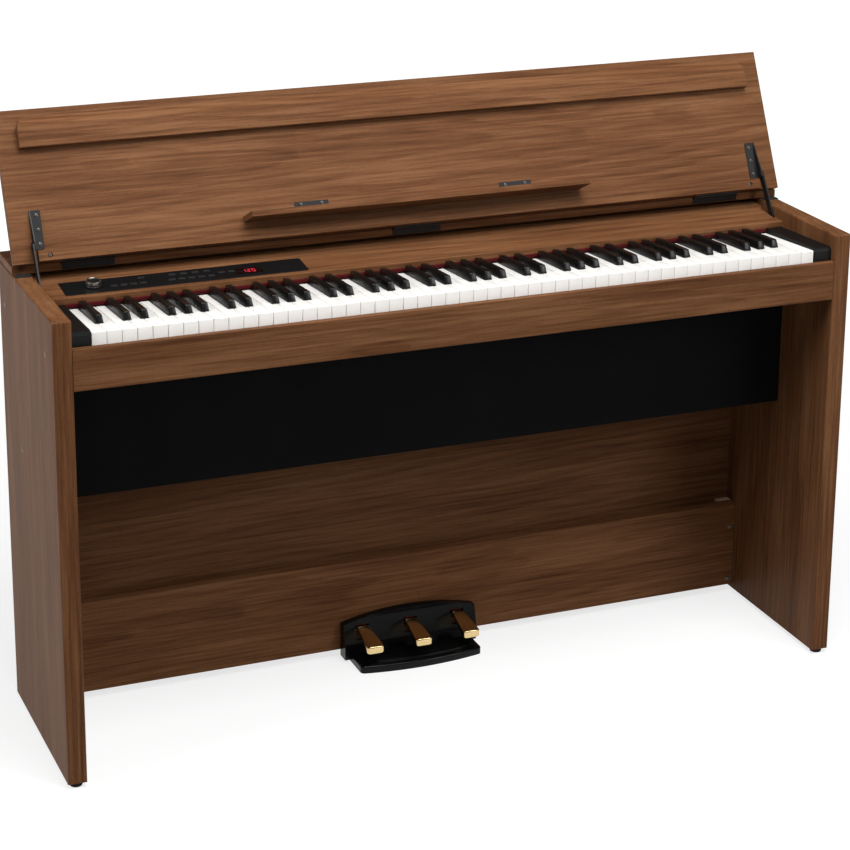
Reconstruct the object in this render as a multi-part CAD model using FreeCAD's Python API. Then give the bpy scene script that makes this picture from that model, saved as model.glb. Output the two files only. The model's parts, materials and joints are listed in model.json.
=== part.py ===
import FreeCAD, Part
import math
import os

# Compact digital piano on its own panel stand, with the lid open and the music rest out.
# Millimetres. +X runs along the keyboard to the treble, +Y to the back, +Z up.
# The pieces are drawn about the middle of the cabinet's depth, and everything moves along Y
# at the end, so that the origin lies on the floor under the middle of the whole.

V = FreeCAD.Vector

# ---------------------------------------------------------------- cabinet
width = 1346.0              # outside faces of the side panels
depth = 347.0               # front to back of the side panels
height = 770.0              # floor to the top of the closed lid
panel_t = 30.0              # side panels
board_t = 15.0              # keybed
top_t = 12.0                # rear top board
lid_t = 11.7                # lid: shut, it clears the pads on the side panels
back_t = 12.0               # back panel
lower_t = 18.0              # lower board
baffle_t = 12.0             # black panel under the keyboard
foot_r = 10.0
foot_h = 8.0
foot_inset = 15.0           # from the panel's front and back edges to the foot's centre
pad_t = 1.5                 # rubber between the side panels and the rear top board
pad_front_lead = 14.0       # pads show this far in front of the rear top board
rear_board_depth = 96.0     # rear top board, front to back
back_inset = 16.0           # back panel's rear face in from the panels' rear edges
lower_bottom = 15.5
lower_top = 174.5
lower_gap = 12.3             # lower board to the back panel
keybed_drop = 124.5          # top of the closed lid to the keybed's underside
baffle_h = 230.0
baffle_inset = 157.8         # panel's face in from the side panels' front edges
keyslip_h = 65.2
keyslip_t = 10.6
keyslip_inset = 0.8         # keyslip's face in from the panels' front edges
edge_r = 2.0                # eased edges of the boards
panel_edge_r = 3.5          # eased edges of the side panels
seam = 0.2                  # gap left where two boards of one face meet a moving or a drilled piece

# ---------------------------------------------------------------- keyboard
white_count = 52
white_pitch = 23.5
key_gap = 1.0               # between neighbouring white keys
key_front_gap = 2.0         # keyslip's back to the key fronts
key_drop = 39.7              # top of the closed lid to a white key's upper front edge
key_slope = 0.072           # fall of the key tops to the back, per mm
key_lip_h = 24.3            # height of a white key's front
key_back_h = 16.5           # height of a key at the end of its visible top
cap_length = 156.0          # visible length of a white key
black_front_back = 49.6     # white key front to black key front
black_w = 12.8
black_top_w = 9.6
black_rise = 13.0
black_front_lean = 4.5
black_clear = 0.5
black_head_clear = 1.0
lever_w = 9.5
lever_h = 12.0
lever_drop = 67.0            # top of the closed lid to the levers' underside
pivot_back = 218.0          # key front to key pivot
pivot_r = 2.0
pivot_clear = 0.05
lever_tail = 8.0
cheek_gap = 0.8
cheek_proud = 3.2            # cheek block above the white keys' front edge
cheek_fall = 7.5             # fall of the cheek block's top to its back

# ---------------------------------------------------------------- control board
ctrl_gap = 3.1               # end of the white keys' caps to the control board
ctrl_drop = 34.0             # top of the closed lid to the control board's front edge
ctrl_slope = 0.12           # rise of the control board to the back, per mm
ctrl_t = 9.5
ctrl_lap = 21.5              # control board on under the rear top board
plate_inset = 36.0           # plate's end in from the side panel
plate_w = 395.0
plate_setback = 8.0          # plate's front edge back from the control board's
plate_d = 50.0
plate_t = 2.5
plate_proud = 0.8
plate_lap = 7.0             # plate's rim that lies on the control board
knob_along = 50.0            # this and the next are from the plate's left end and front edge
knob_back = 26.0
knob_r = 14.0
knob_h = 9.5
knob_skirt_h = 3.0
knob_shaft_r = 3.0
knob_gap = 0.4
display_along = 301.0
display_back = 22.5
display_w = 44.0
display_d = 22.0
display_t = 1.5
button_w = 11.0
button_d = 6.0
button_h = 1.0              # above the plate
button_travel = 0.7
button_clear = 0.15
button_skirt = 1.0
row_rear_back = 37.0
row_front_back = 18.0
row_single_back = 26.0
row_rear_along = [129.0, 179.0, 198.0, 217.0, 236.0]
row_front_along = [81.0, 96.5, 112.0, 127.5, 174.0, 190.0, 206.0, 222.0, 238.0]
row_single_along = [257.0, 273.0]

# ---------------------------------------------------------------- lid
lid_front_inset = 6.0        # lid's front edge in from the side panels' front edges
lid_side_gap = 0.5          # lid's ends in from the panels' outside faces
lid_open_deg = 115.7
hinge_gap = 1.6             # axis to each board's edge face
hinge_leaf_t = 1.0
hinge_r = 2.4
hinge_pin_r = 1.1
hinge_clear = 0.3
pin_clear = 0.05
hinge_len = 84.0
hinge_insets = [91.0, 89.0]  # middles of the end hinges in from the side panels
bar_inset = 3.0              # bar's ends in from the side panels
bar_w = 49.0
bar_setback = 14.0           # bar's front face in from the lid's front edge
bar_t = 12.0
bar_bevel_s = 15.0
bar_bevel_t = 9.0
rail_inset = 9.0             # rail's ends in from the side panels
rail_s0 = 2.0
rail_s1 = 20.0
rail_t = 9.0

# ---------------------------------------------------------------- lid stays
stay_plate_w = 17.5
stay_inset = 4.5             # flange's outer face in from the side panel
stay_t = 2.0
stay_s0 = 22.0
stay_s1 = 84.0
stay_flange_h = 14.0
stay_pivot_s = 27.0
stay_pivot_off = 8.0
stay_pivot_r = 2.5
arm_gap = 0.5
arm_t = 2.5
arm_w = 12.0
arm_len = 80.0
arm_lean_deg = 31.8         # from straight down, with the lid open
slot_w = 6.5                 # slot in each end of the control board
slot_lead = 59.5             # slot's front end before the hinge axis
slot_len = 48.0
guide_h = 58.0

# ---------------------------------------------------------------- music rest
rest_half = 296.0
rest_depth = 48.0
rest_t = 9.5
rest_s = 42.0               # hinge to the rest's upper face
rest_lift = 0.5             # rest's root above the lid's face
rest_hinge_r = 2.0
rest_hinge_gap = 0.4
rest_hinge_len = 58.0
rest_hinge_x = [-179.0, 180.5]
rest_leaf_w = 12.5
rest_leaf_t = 1.2

# ---------------------------------------------------------------- pedals
pedal_pitch = 88.0
pedal_tip_w = 30.0
pedal_root_w = 22.0
pedal_reach = 86.2           # tips before the lower board
pedal_tip_z = 53.0          # upper face at the tip
pedal_root_z = 62.0         # upper face at the hood
pedal_root_reach = 21.2
pedal_tip_t = 15.0
pedal_t = 9.0
pedal_pivot_reach = 9.2
pedal_pivot_z = 52.0
pedal_shaft_r = 3.0
pedal_swing_deg = 9.0
hood_side = 34.0             # hood's end beyond the middle of the end pedals
hood_end_z = 66.0
hood_mid_z = 81.5
hood_wall = 3.0
hood_nose = 24.0            # hood's depth at the bottom, in front of the lower board
hood_roof = 9.0             # hood's depth at the top
hood_bottom = 4.5
base_inset = 11.0            # base's ends in from the hood's
base_reach_mid = 86.2        # base before the lower board, in the middle
base_reach_end = 74.2        # and at its ends
base_h = 13.0
base_corner_r = 8.0
base_rib_w = 4.0
base_rib_h = 2.5

# ---------------------------------------------------------------- inside and behind
frame_t = 2.0
rib_t = 2.0
guide_rail_h = 27.5
sensor_setback = 80.1        # channel's front behind the key fronts
sensor_w = 40.0
sensor_h = 29.5
sensor_t = 1.6
dome_h = 6.5
speaker_inset = 213.0        # speakers' middles in from the side panels
speaker_setback = 77.5       # and before the back panel
speaker_r = 52.0
speaker_depth = 46.0
jack_r = 3.2
jack_len = 20.0
inlet_r = 2.75
inlet_len = 9.5
inlet_inset = 83.0           # inlet in from the side panel
inlet_drop = 70.0            # inlet below the top of the closed lid
screw_r = 2.0
screw_head_r = 4.2
cap_r = 6.0
cap_t = 1.2
screw_block = 20.0           # reach of the blocks that take the side panels' screws
upper_screw_drop = 77.0      # rear upper screw below the top of the closed lid
cheek_screw_drop = 76.0
cheek_screw_inset = 45.0     # cheek block's screw in from the panels' front edges
baffle_screw_back = 70.2     # lower screw behind the black panel's face
baffle_screw_rise = 64.5     # and above its lower edge
felt_gap = 0.05              # felt under the control board
felt_drop = 50.0             # felt's lower face below the top of the closed lid

# ---------------------------------------------------------------- worked out
half_w = width / 2.0
half_d = depth / 2.0
inner = half_w - panel_t
panel_top = height - top_t - pad_t
hinge_y = half_d - rear_board_depth
back_face = half_d - back_inset
back_front = back_face - back_t
keybed_bottom = height - keybed_drop
keybed_top = keybed_bottom + board_t
lower_front = back_front - lower_gap - lower_t
baffle_bottom = keybed_bottom - baffle_h
baffle_front = -half_d + baffle_inset
slip_front = -half_d + keyslip_inset
slip_back = slip_front + keyslip_t
key_front = slip_back + key_front_gap
key_half = white_count * white_pitch / 2.0
key_front_top = height - key_drop
lever_bottom = height - lever_drop
lever_top = lever_bottom + lever_h
pivot_y = key_front + pivot_back
pivot_z = lever_bottom + lever_h / 2.0
cheek_top = key_front_top + cheek_proud
cheek_end_top = cheek_top - cheek_fall
ctrl_front = key_front + cap_length + ctrl_gap
ctrl_front_top = height - ctrl_drop
ctrl_depth = hinge_y + ctrl_lap - ctrl_front
plate_x0 = -inner + plate_inset
plate_x1 = plate_x0 + plate_w
plate_y0 = ctrl_front + plate_setback
plate_y1 = plate_y0 + plate_d
knob_x = plate_x0 + knob_along
knob_y = plate_y0 + knob_back
display_x = plate_x0 + display_along
display_y = plate_y0 + display_back
lid_len = hinge_y + half_d - lid_front_inset
hinge_x = [-inner + hinge_insets[0], 0.0, inner - hinge_insets[1]]
bar_half = inner - bar_inset
bar_s1 = lid_len - bar_setback
bar_s0 = bar_s1 - bar_w
rail_half = inner - rail_inset
stay_flange_out = inner - stay_inset
stay_plate_in = stay_flange_out - stay_plate_w
slot_x = inner - slot_w
slot_y0 = hinge_y - slot_lead
slot_y1 = slot_y0 + slot_len
pedal_tip_y = lower_front - pedal_reach
pedal_root_y = lower_front - pedal_root_reach
pedal_pivot_y = lower_front - pedal_pivot_reach
hood_half = pedal_pitch + hood_side
base_half = hood_half - base_inset
base_front_mid = lower_front - base_reach_mid
base_front_end = lower_front - base_reach_end
guide_rail_z = keybed_top + guide_rail_h
sensor_y0 = key_front + sensor_setback
sensor_y1 = sensor_y0 + sensor_w
sensor_top = keybed_top + sensor_h
speaker_x = inner - speaker_inset
speaker_y = back_front - speaker_setback
inlet_x = -inner + inlet_inset
inlet_z = height - inlet_drop
lid_half = half_w - lid_side_gap
ctrl_deg = math.degrees(math.atan(ctrl_slope))
ctrl_up = V(0, -math.sin(math.atan(ctrl_slope)), math.cos(math.atan(ctrl_slope)))
lid_back_y = hinge_y - lid_len * math.cos(math.radians(lid_open_deg))
shift_y = -(max(half_d, lid_back_y) - half_d) / 2.0


# ---------------------------------------------------------------- plain shapes
def block(x0, x1, y0, y1, z0, z1):
    """Box between two corners."""
    return Part.makeBox(x1 - x0, y1 - y0, z1 - z0, V(x0, y0, z0))


def face_of(points):
    """Flat face on a closed run of corners."""
    return Part.Face(Part.makePolygon(points + [points[0]]))


def along_x(outline, x0, x1):
    """Solid with a (y, z) outline, from x0 to x1."""
    return face_of([V(x0, y, z) for y, z in outline]).extrude(V(x1 - x0, 0, 0))


def along_y(outline, y0, y1):
    """Solid with an (x, z) outline, from y0 to y1."""
    return face_of([V(x, y0, z) for x, z in outline]).extrude(V(0, y1 - y0, 0))


def along_z(outline, z0, z1):
    """Solid with an (x, y) outline, from z0 to z1."""
    return face_of([V(x, y, z0) for x, y in outline]).extrude(V(0, 0, z1 - z0))


def rod(start, direction, length, radius):
    """Round bar from a point along a direction."""
    return Part.makeCylinder(radius, length, start, direction)


def ease(shape, radius, wanted):
    """Round the edges whose middle point passes a test."""
    edges = [e for e in shape.Edges if wanted(e.CenterOfMass, e)]
    return shape.makeFillet(radius, edges)


def join(shapes):
    """One solid from shapes that touch or cross."""
    whole = shapes[0]
    for shape in shapes[1:]:
        whole = whole.fuse(shape)
    return whole.removeSplitter()


def cut_all(shape, tools):
    """Shape less every tool."""
    for tool in tools:
        shape = shape.cut(tool)
    return shape


def mirror_x(shape):
    """The same piece at the other end of the cabinet."""
    return shape.mirror(V(0, 0, 0), V(1, 0, 0))


def both_ends(shape):
    """A piece and its mirror image."""
    return [shape, mirror_x(shape)]


# ---------------------------------------------------------------- cabinet
def cap_places():
    """Screws through the side panels, as (y, z): cheek block, rear block, middle block."""
    return [(-half_d + cheek_screw_inset, height - cheek_screw_drop), (back_front - 8.0, height - upper_screw_drop),
            (baffle_front + baffle_screw_back, baffle_bottom + baffle_screw_rise)]


def panel_screw(y, z, length, bore):
    """Countersunk wood screw through the right side panel, or its hole."""
    grow = 0.0 if not bore else 0.1
    head = rod(V(half_w - 10.0, y, z), V(1, 0, 0), 3.0 + (7.0 if bore else 0.0), screw_head_r + grow)
    shank = rod(V(half_w - 10.0 - length, y, z), V(1, 0, 0), length, screw_r + grow)
    return head.fuse(shank)


def side_panel_right():
    shape = block(inner, half_w, -half_d, half_d, foot_h, panel_top)
    front = lambda c, e: abs(c.y + half_d) < 0.01 or (c.z > panel_top - 0.01)
    shape = ease(shape, panel_edge_r, front)
    return cut_all(shape, [panel_screw(y, z, 45.0, True) for y, z in cap_places()])


def cover_caps():
    """Plastic caps over the screws in the side panels, with a short stem in the hole."""
    caps = []
    for y, z in cap_places():
        head = rod(V(half_w, y, z), V(1, 0, 0), cap_t, cap_r)
        stem = rod(V(half_w - 5.0, y, z), V(1, 0, 0), 5.0, screw_head_r)
        caps += both_ends(ease(head, 0.6, lambda c, e: c.x > half_w + cap_t - 0.01).fuse(stem))
    return caps


def rear_top_board():
    shape = block(-half_w, half_w, hinge_y + hinge_gap, half_d, height - top_t, height)
    shape = ease(shape, 1.0, lambda c, e: c.z > height - 0.01)
    return cut_all(shape, hinge_recesses() + hinge_screws(True, True))


def lid_pads():
    pad = block(inner + 2.0, half_w - 2.0, hinge_y - pad_front_lead, half_d - 12.0, panel_top, panel_top + pad_t)
    return both_ends(pad)


def feet():
    made = []
    for y in (-half_d + foot_inset, half_d - foot_inset):
        foot = rod(V(half_w - panel_t / 2.0, y, 0), V(0, 0, 1), foot_h, foot_r)
        made += both_ends(ease(foot, 1.0, lambda c, e: c.z < 0.01))
    return made


def lower_screw_places():
    """Screws in the lower board's ends, as (x, z)."""
    return [(inner - 9.0, lower_bottom + 11.5), (inner - 9.0, lower_top - 46.0)]


def lower_screw(x, z, bore):
    grow = 0.1 if bore else 0.0
    head = rod(V(x, lower_front, z), V(0, 1, 0), 2.0, screw_head_r + grow)
    shank = rod(V(x, lower_front + 2.0, z), V(0, 1, 0), lower_t + 6.0, screw_r + grow)
    return head.fuse(shank)


def lower_board():
    back = lower_front + lower_t
    shape = block(-inner, inner, lower_front, back, lower_bottom, lower_top)
    shape = ease(shape, 1.0, lambda c, e: c.z > lower_top - 0.01 and e.Length > width / 2.0)
    tools = []
    for x, z in lower_screw_places():
        tools += both_ends(lower_screw(x, z, True))
    return cut_all(shape, tools)


def corner_blocks():
    """Wooden blocks at the ends: they carry the control board, the back and the lower board."""
    made = []
    for y0, y1 in ((ctrl_front + 4.0, ctrl_front + 16.0), (slot_y1 + 3.0, slot_y1 + 21.0)):
        top0 = ctrl_under(y0)
        top1 = ctrl_under(y1)
        side = [(y0, top0 - screw_block), (y1, top0 - screw_block), (y1, top1), (y0, top0)]
        made.append(along_x(side, inner - 15.0, inner))
    holes = [panel_screw(y, z, 45.0, True) for y, z in cap_places()]
    inside = inner - screw_block
    rear_y, rear_z = cap_places()[1]
    low_y, low_z = cap_places()[2]
    rear = block(inside, inner, back_front - screw_block, back_front, rear_z - 23.0, rear_z + 23.0)
    low = block(inside, inner, baffle_front + baffle_t, low_y + 20.5, low_z - 15.0, low_z + 15.0)
    made += [cut_all(rear, holes), cut_all(low, holes)]
    screws = [lower_screw(x, z, True) for x, z in lower_screw_places()]
    behind = lower_front + lower_t
    made.append(cut_all(block(inner - 26.0, inner, behind, back_front, lower_bottom, lower_top), screws))
    return [s for shape in made for s in both_ends(shape)]


def cabinet_screws():
    made = [panel_screw(y, z, 36.0, False) for y, z in cap_places()]
    made += [lower_screw(x, z, False) for x, z in lower_screw_places()]
    return [s for shape in made for s in both_ends(shape)]


def back_panel():
    shape = block(-inner, inner, back_front, back_face, lower_bottom, height - top_t)
    w = 7.0
    return shape.cut(block(inlet_x - w, inlet_x + w, back_front, back_face, inlet_z - w, inlet_z + w))


def keybed():
    return block(-inner, inner, slip_back, back_front, keybed_bottom, keybed_top)


def keyslip():
    shape = block(-inner, inner, slip_front, slip_back, keybed_bottom, keybed_bottom + keyslip_h)
    return ease(shape, 1.5, lambda c, e: e.Length > width / 2.0 and c.y < slip_front + 0.01)


def under_key_panel():
    return block(-inner, inner, baffle_front, baffle_front + baffle_t, baffle_bottom, keybed_bottom)


def cheek_blocks():
    """Black blocks that close the keyboard's ends. The side panel's front screw enters each."""
    back = ctrl_front - 1.0
    outline = [(slip_back, keybed_top), (slip_back, cheek_top - 6.0), (slip_back + 1.8, cheek_top - 1.8),
               (slip_back + 6.0, cheek_top), (back, cheek_end_top), (back, keybed_top)]
    shape = along_x(outline, key_half + cheek_gap, inner)
    y, z = cap_places()[0]
    return both_ends(shape.cut(panel_screw(y, z, 45.0, True)))


# ---------------------------------------------------------------- control board
def ctrl_top(y):
    return ctrl_front_top + ctrl_slope * (y - ctrl_front)


def ctrl_under(y):
    return ctrl_top(y) - ctrl_t * math.sqrt(1.0 + ctrl_slope ** 2)


def tilt(shape):
    """Turn a piece drawn flat at z = 0 on to the control board's upper face."""
    shape.rotate(V(0, 0, 0), V(1, 0, 0), ctrl_deg)
    shape.translate(V(0, 0, ctrl_top(0.0)))
    return shape


def flat_y(y):
    """Distance along the tilted face of a place given as plan depth."""
    return y / math.cos(math.radians(ctrl_deg))


def control_board():
    y0 = ctrl_front
    y1 = ctrl_front + ctrl_depth
    outline = [(y0, ctrl_under(y0)), (y0, ctrl_top(y0)), (y1, ctrl_top(y1)), (y1, ctrl_under(y1))]
    shape = along_x(outline, -inner, inner)
    shape = ease(shape, 1.5, lambda c, e: e.Length > width / 2.0 and c.y < y0 + 0.01 and c.z > ctrl_under(y0) + 1.0)
    slot = block(slot_x, inner, slot_y0, slot_y1, ctrl_under(0) - 20.0, ctrl_top(slot_y1) + 20.0)
    rim = tilt(block(plate_x0, plate_x1, flat_y(plate_y0), flat_y(plate_y1), -(plate_t - plate_proud), 5.0))
    well = tilt(block(plate_x0 + plate_lap, plate_x1 - plate_lap, flat_y(plate_y0) + plate_lap,
                      flat_y(plate_y1) - plate_lap, -20.0, 5.0))
    return cut_all(shape, both_ends(slot) + [rim, well])


def felt_strip():
    """Dark red felt under the control board's front edge, just above the key tops."""
    front = ctrl_front - 3.0
    back = ctrl_front + 3.0
    low = height - felt_drop
    face = ctrl_under(ctrl_front) - felt_gap
    outline = [(front, low), (front, low + 6.0), (ctrl_front, low + 6.3), (ctrl_front, face),
               (back, ctrl_under(back) - felt_gap), (back, low)]
    return along_x(outline, -key_half, key_half)


def button_places():
    rows = ((row_rear_along, row_rear_back), (row_front_along, row_front_back), (row_single_along, row_single_back))
    return [(plate_x0 + along, plate_y0 + back) for row, back in rows for along in row]


def button_shape(x, y, grow, z0, z1):
    half = button_w / 2.0 + grow
    return block(x - half, x + half, flat_y(y) - button_d / 2.0 - grow, flat_y(y) + button_d / 2.0 + grow, z0, z1)


def display_shape(grow, z0, z1):
    half = display_w / 2.0 + grow
    y = flat_y(display_y)
    return block(display_x - half, display_x + half, y - display_d / 2.0 - grow, y + display_d / 2.0 + grow, z0, z1)


def control_plate():
    low = plate_proud - plate_t
    shape = block(plate_x0 + seam, plate_x1 - seam, flat_y(plate_y0) + seam, flat_y(plate_y1) - seam,
                  low, plate_proud)
    shape = ease(shape, 0.5, lambda c, e: c.z > plate_proud - 0.01)
    tools = [button_shape(x, y, button_clear, low - 1.0, plate_proud + 1.0) for x, y in button_places()]
    tools.append(display_shape(0.0, plate_proud - display_t, plate_proud + 1.0))
    tools.append(display_shape(-3.0, low - 1.0, plate_proud))
    shaft_hole = rod(V(knob_x, flat_y(knob_y), low - 1.0), V(0, 0, 1), plate_t + 2.0, knob_shaft_r + pivot_clear)
    tools.append(shaft_hole)
    return tilt(cut_all(shape, tools))


def display_window():
    return tilt(display_shape(-0.1, plate_proud - display_t, plate_proud))


def panel_buttons():
    """Small push buttons, each with a skirt under the plate that keeps it in."""
    low = plate_proud - plate_t
    made = []
    for x, y in button_places():
        cap = button_shape(x, y, 0.0, low - 1.0, plate_proud + button_h)
        cap = ease(cap, 0.4, lambda c, e: c.z > plate_proud + button_h - 0.01)
        skirt = button_shape(x, y, button_skirt, low - 1.2, low - 0.2)
        made.append(tilt(cap.fuse(skirt)))
    return made


def volume_knob():
    """Turned knob with a dished top, a flared skirt and a shaft through the plate."""
    z0 = plate_proud + knob_gap
    top = z0 + knob_h
    outline = [(0, z0 - 12.0), (knob_shaft_r, z0 - 12.0), (knob_shaft_r, z0), (knob_r, z0), (knob_r, z0 + knob_skirt_h),
               (knob_r - 1.2, z0 + knob_skirt_h + 0.8), (knob_r - 2.0, top - 1.0), (knob_r - 3.0, top),
               (knob_r - 4.2, top), (knob_r - 6.5, top - 1.6), (0, top - 2.0)]
    face = face_of([V(knob_x + r, flat_y(knob_y), z) for r, z in outline])
    return tilt(face.revolve(V(knob_x, flat_y(knob_y), 0), V(0, 0, 1), 360))


# ---------------------------------------------------------------- keys
def key_top(y):
    return key_front_top - key_slope * (y - key_front)


def black_offset(letter):
    """How far a black key stands off the joint of the two white keys it follows."""
    return {"C": -1.8, "D": 1.8, "F": -2.2, "G": 0.0, "A": 2.2}[letter]


def letters():
    """Names of the white keys from the lowest: A B, then C to B over and over, to C."""
    return ["ABCDEFG"[i % 7] for i in range(white_count)]


def black_centre(index):
    """Middle of the black key to the right of a white key."""
    return -key_half + (index + 1) * white_pitch + black_offset(letters()[index])


def has_black(index):
    return letters()[index] in "CDFGA" and index < white_count - 1


def lever(x):
    """Rear part of a key, under the control board, bored for the pivot rod."""
    y0 = key_front + cap_length - 3.0
    y1 = pivot_y + lever_tail
    bar = block(x - lever_w / 2.0, x + lever_w / 2.0, y0, y1, lever_bottom, lever_top)
    hole = rod(V(x - lever_w, pivot_y, pivot_z), V(1, 0, 0), 2.0 * lever_w, pivot_r + pivot_clear)
    return bar.cut(hole)


def head_sides(index):
    """Left and right side of a white key's head."""
    x0 = -key_half + index * white_pitch + key_gap / 2.0
    return x0, x0 + white_pitch - key_gap


def waist_sides(index):
    """Left and right side of a white key between its black keys."""
    w0, w1 = head_sides(index)
    if index > 0 and has_black(index - 1):
        w0 = black_centre(index - 1) + black_w / 2.0 + black_clear
    if has_black(index):
        w1 = black_centre(index) - black_w / 2.0 - black_clear
    return w0, w1


def white_key(index):
    """White key: a full head, a waist between its black keys, and the lever behind."""
    x0, x1 = head_sides(index)
    w0, w1 = waist_sides(index)
    y1 = key_front + black_front_back - black_head_clear
    y3 = key_front + cap_length
    low = key_front_top - key_lip_h
    y2 = y1 + 1.0
    head = along_x([(key_front, low), (key_front, key_top(key_front)), (y2, key_top(y2)), (y2, low)], x0, x1)
    head = head.cut(block(x0 - 1.0, w0, y1, y1 + 9.0, low - 1.0, height))
    head = head.cut(block(w1, x1 + 1.0, y1, y1 + 9.0, low - 1.0, height))
    waist = along_x([(y1, low), (y1, key_top(y1)), (y3, key_top(y3)), (y3, lever_bottom)], w0, w1)
    return join([head, waist, lever((w0 + w1) / 2.0)])


def black_key(index):
    """Black key: a tapered top with a sloping front, on a straight body."""
    x = black_centre(index)
    y0 = key_front + black_front_back
    y1 = key_front + cap_length - 2.0
    half = black_w / 2.0
    top_half = black_top_w / 2.0
    yf = y0 + black_front_lean
    wires = []
    for reach, front, rise in ((half, y0, 0.0), (top_half, yf, black_rise)):
        corners = [V(x - reach, front, key_top(front) + rise), V(x + reach, front, key_top(front) + rise),
                   V(x + reach, y1, key_top(y1) + rise), V(x - reach, y1, key_top(y1) + rise)]
        wires.append(Part.makePolygon(corners + [corners[0]]))
    top = Part.makeLoft(wires, True, True)
    body = along_x([(y0, lever_bottom + 2.0), (y0, key_top(y0)), (y1, key_top(y1)), (y1, lever_bottom)],
                   x - half, x + half)
    return join([top, body, lever(x)])


def octave_start():
    """White index of the C in the middle of the keyboard."""
    return 23


def key_nodes():
    """The middle octave's twelve keys by name, and the rest as a white and a black bank."""
    first = octave_start()
    nodes = {"white_key_bank": [], "black_key_bank": []}
    for i in range(white_count):
        inside = first <= i < first + 7
        name = "key_" + letters()[i].lower() if inside else "white_key_bank"
        nodes.setdefault(name, []).append(white_key(i))
        if has_black(i):
            name = "key_" + letters()[i].lower() + "_sharp" if inside else "black_key_bank"
            nodes.setdefault(name, []).append(black_key(i))
    return nodes


def rib_places():
    """Ribs stand between the lever of each B and that of the C above it, and past both ends."""
    places = [-key_half - 2.0, key_half + 2.0]
    names = letters()
    for i in range(1, white_count):
        if names[i] == "C":
            left = lever_mid(i - 1) + lever_w / 2.0
            right = lever_mid(i) - lever_w / 2.0
            places.append((left + right) / 2.0)
    return places


def lever_mid(index):
    """Middle of a white key's waist."""
    return sum(waist_sides(index)) / 2.0


def key_frame():
    """Steel key frame on the keybed: base, front stop rail, sensor channel, and ribs for the rod."""
    y0 = key_front + 9.0
    y1 = pivot_y + lever_tail + 6.0
    end = key_half + 4.0
    z0 = keybed_top
    parts = [block(-key_half, key_half, y0, y1, z0, z0 + frame_t)]
    parts.append(block(-end, end, ctrl_front + 1.0, y1, z0, z0 + frame_t))
    parts.append(block(-key_half, key_half, y0, y0 + 4.0, z0, guide_rail_z))
    parts.append(block(-key_half, key_half, sensor_y0, sensor_y1, z0, sensor_top))
    parts = [join(parts)]
    parts[0] = parts[0].cut(block(-key_half - 1.0, key_half + 1.0, sensor_y0 + 2.0, sensor_y1 - 2.0,
                                  z0 + frame_t, sensor_top - frame_t))
    for x in rib_places():
        parts.append(block(x - rib_t / 2.0, x + rib_t / 2.0, pivot_y - 12.0, y1, z0, pivot_z + 6.0))
    hole = rod(V(-end - 5.0, pivot_y, pivot_z), V(1, 0, 0), 2.0 * end + 10.0, pivot_r + pivot_clear)
    return join(parts).cut(hole)


def key_pivot_rod():
    end = key_half + 6.0
    return rod(V(-end, pivot_y, pivot_z), V(1, 0, 0), 2.0 * end, pivot_r)


def key_sensor_board():
    return block(-key_half + 2.0, key_half - 2.0, sensor_y0 + 3.0, sensor_y1 - 3.0,
                 sensor_top, sensor_top + sensor_t)


def rubber_contact_strip():
    """Moulded rubber strip with a ridge under the keys."""
    z0 = sensor_top + sensor_t
    mid = (sensor_y0 + sensor_y1) / 2.0
    outline = [(mid - 9.0, z0), (mid - 9.0, z0 + 1.2), (mid - 4.0, z0 + 1.2), (mid - 2.6, z0 + dome_h - 2.0),
               (mid + 2.6, z0 + dome_h - 2.0), (mid + 4.0, z0 + 1.2), (mid + 9.0, z0 + 1.2), (mid + 9.0, z0)]
    return along_x(outline, -key_half + 4.0, key_half - 4.0)


# ---------------------------------------------------------------- inside and behind
def main_circuit_board():
    """Circuit board on stand-offs behind the keys, with its processor, power block and sockets."""
    y0 = pivot_y + lever_tail + 12.0
    y1 = back_front - 6.0
    z0 = keybed_top + 6.0
    parts = [block(-220.0, 60.0, y0, y1, z0, z0 + 1.6)]
    for x in (-212.0, 52.0):
        for y in (y0 + 6.0, y1 - 6.0):
            parts.append(rod(V(x, y, keybed_top), V(0, 0, 1), 7.0, 3.0))
    parts.append(block(-120.0, -92.0, y0 + 14.0, y0 + 42.0, z0, z0 + 4.0))
    parts.append(block(-60.0, -44.0, y0 + 16.0, y0 + 36.0, z0, z0 + 4.0))
    parts.append(block(0.0, 44.0, y0 + 10.0, y1 - 10.0, z0, z0 + 22.0))
    parts.append(block(-200.0, -150.0, y0 + 4.0, y0 + 12.0, z0, z0 + 9.0))
    return join(parts)


def speaker(x):
    """Round speaker under the keybed, facing the floor: flange, basket, magnet and cone in one."""
    z = keybed_bottom
    outline = [(0, z), (34.0, z), (34.0, z - 12.0), (speaker_r, z - speaker_depth + 4.0),
               (speaker_r + 6.0, z - speaker_depth + 4.0), (speaker_r + 6.0, z - speaker_depth),
               (speaker_r - 2.0, z - speaker_depth), (22.0, z - 20.0), (0, z - 26.0)]
    face = face_of([V(x + r, speaker_y, h) for r, h in outline])
    return face.revolve(V(x, speaker_y, 0), V(0, 0, 1), 360)


def power_inlet():
    """Socket for a low-voltage plug, set in the back panel with a flange outside."""
    w = 6.8
    body = block(inlet_x - w, inlet_x + w, back_front - 4.0, back_face, inlet_z - w, inlet_z + w)
    flange = block(inlet_x - 11.0, inlet_x + 11.0, back_face, back_face + 1.5, inlet_z - 11.0, inlet_z + 11.0)
    flange = ease(flange, 3.0, lambda c, e: abs(c.y - back_face - 0.75) < 0.01)
    hole = rod(V(inlet_x, back_face + 1.5 - inlet_len, inlet_z), V(0, 1, 0), inlet_len + 1.0, inlet_r)
    return body.fuse(flange).cut(hole)


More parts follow.
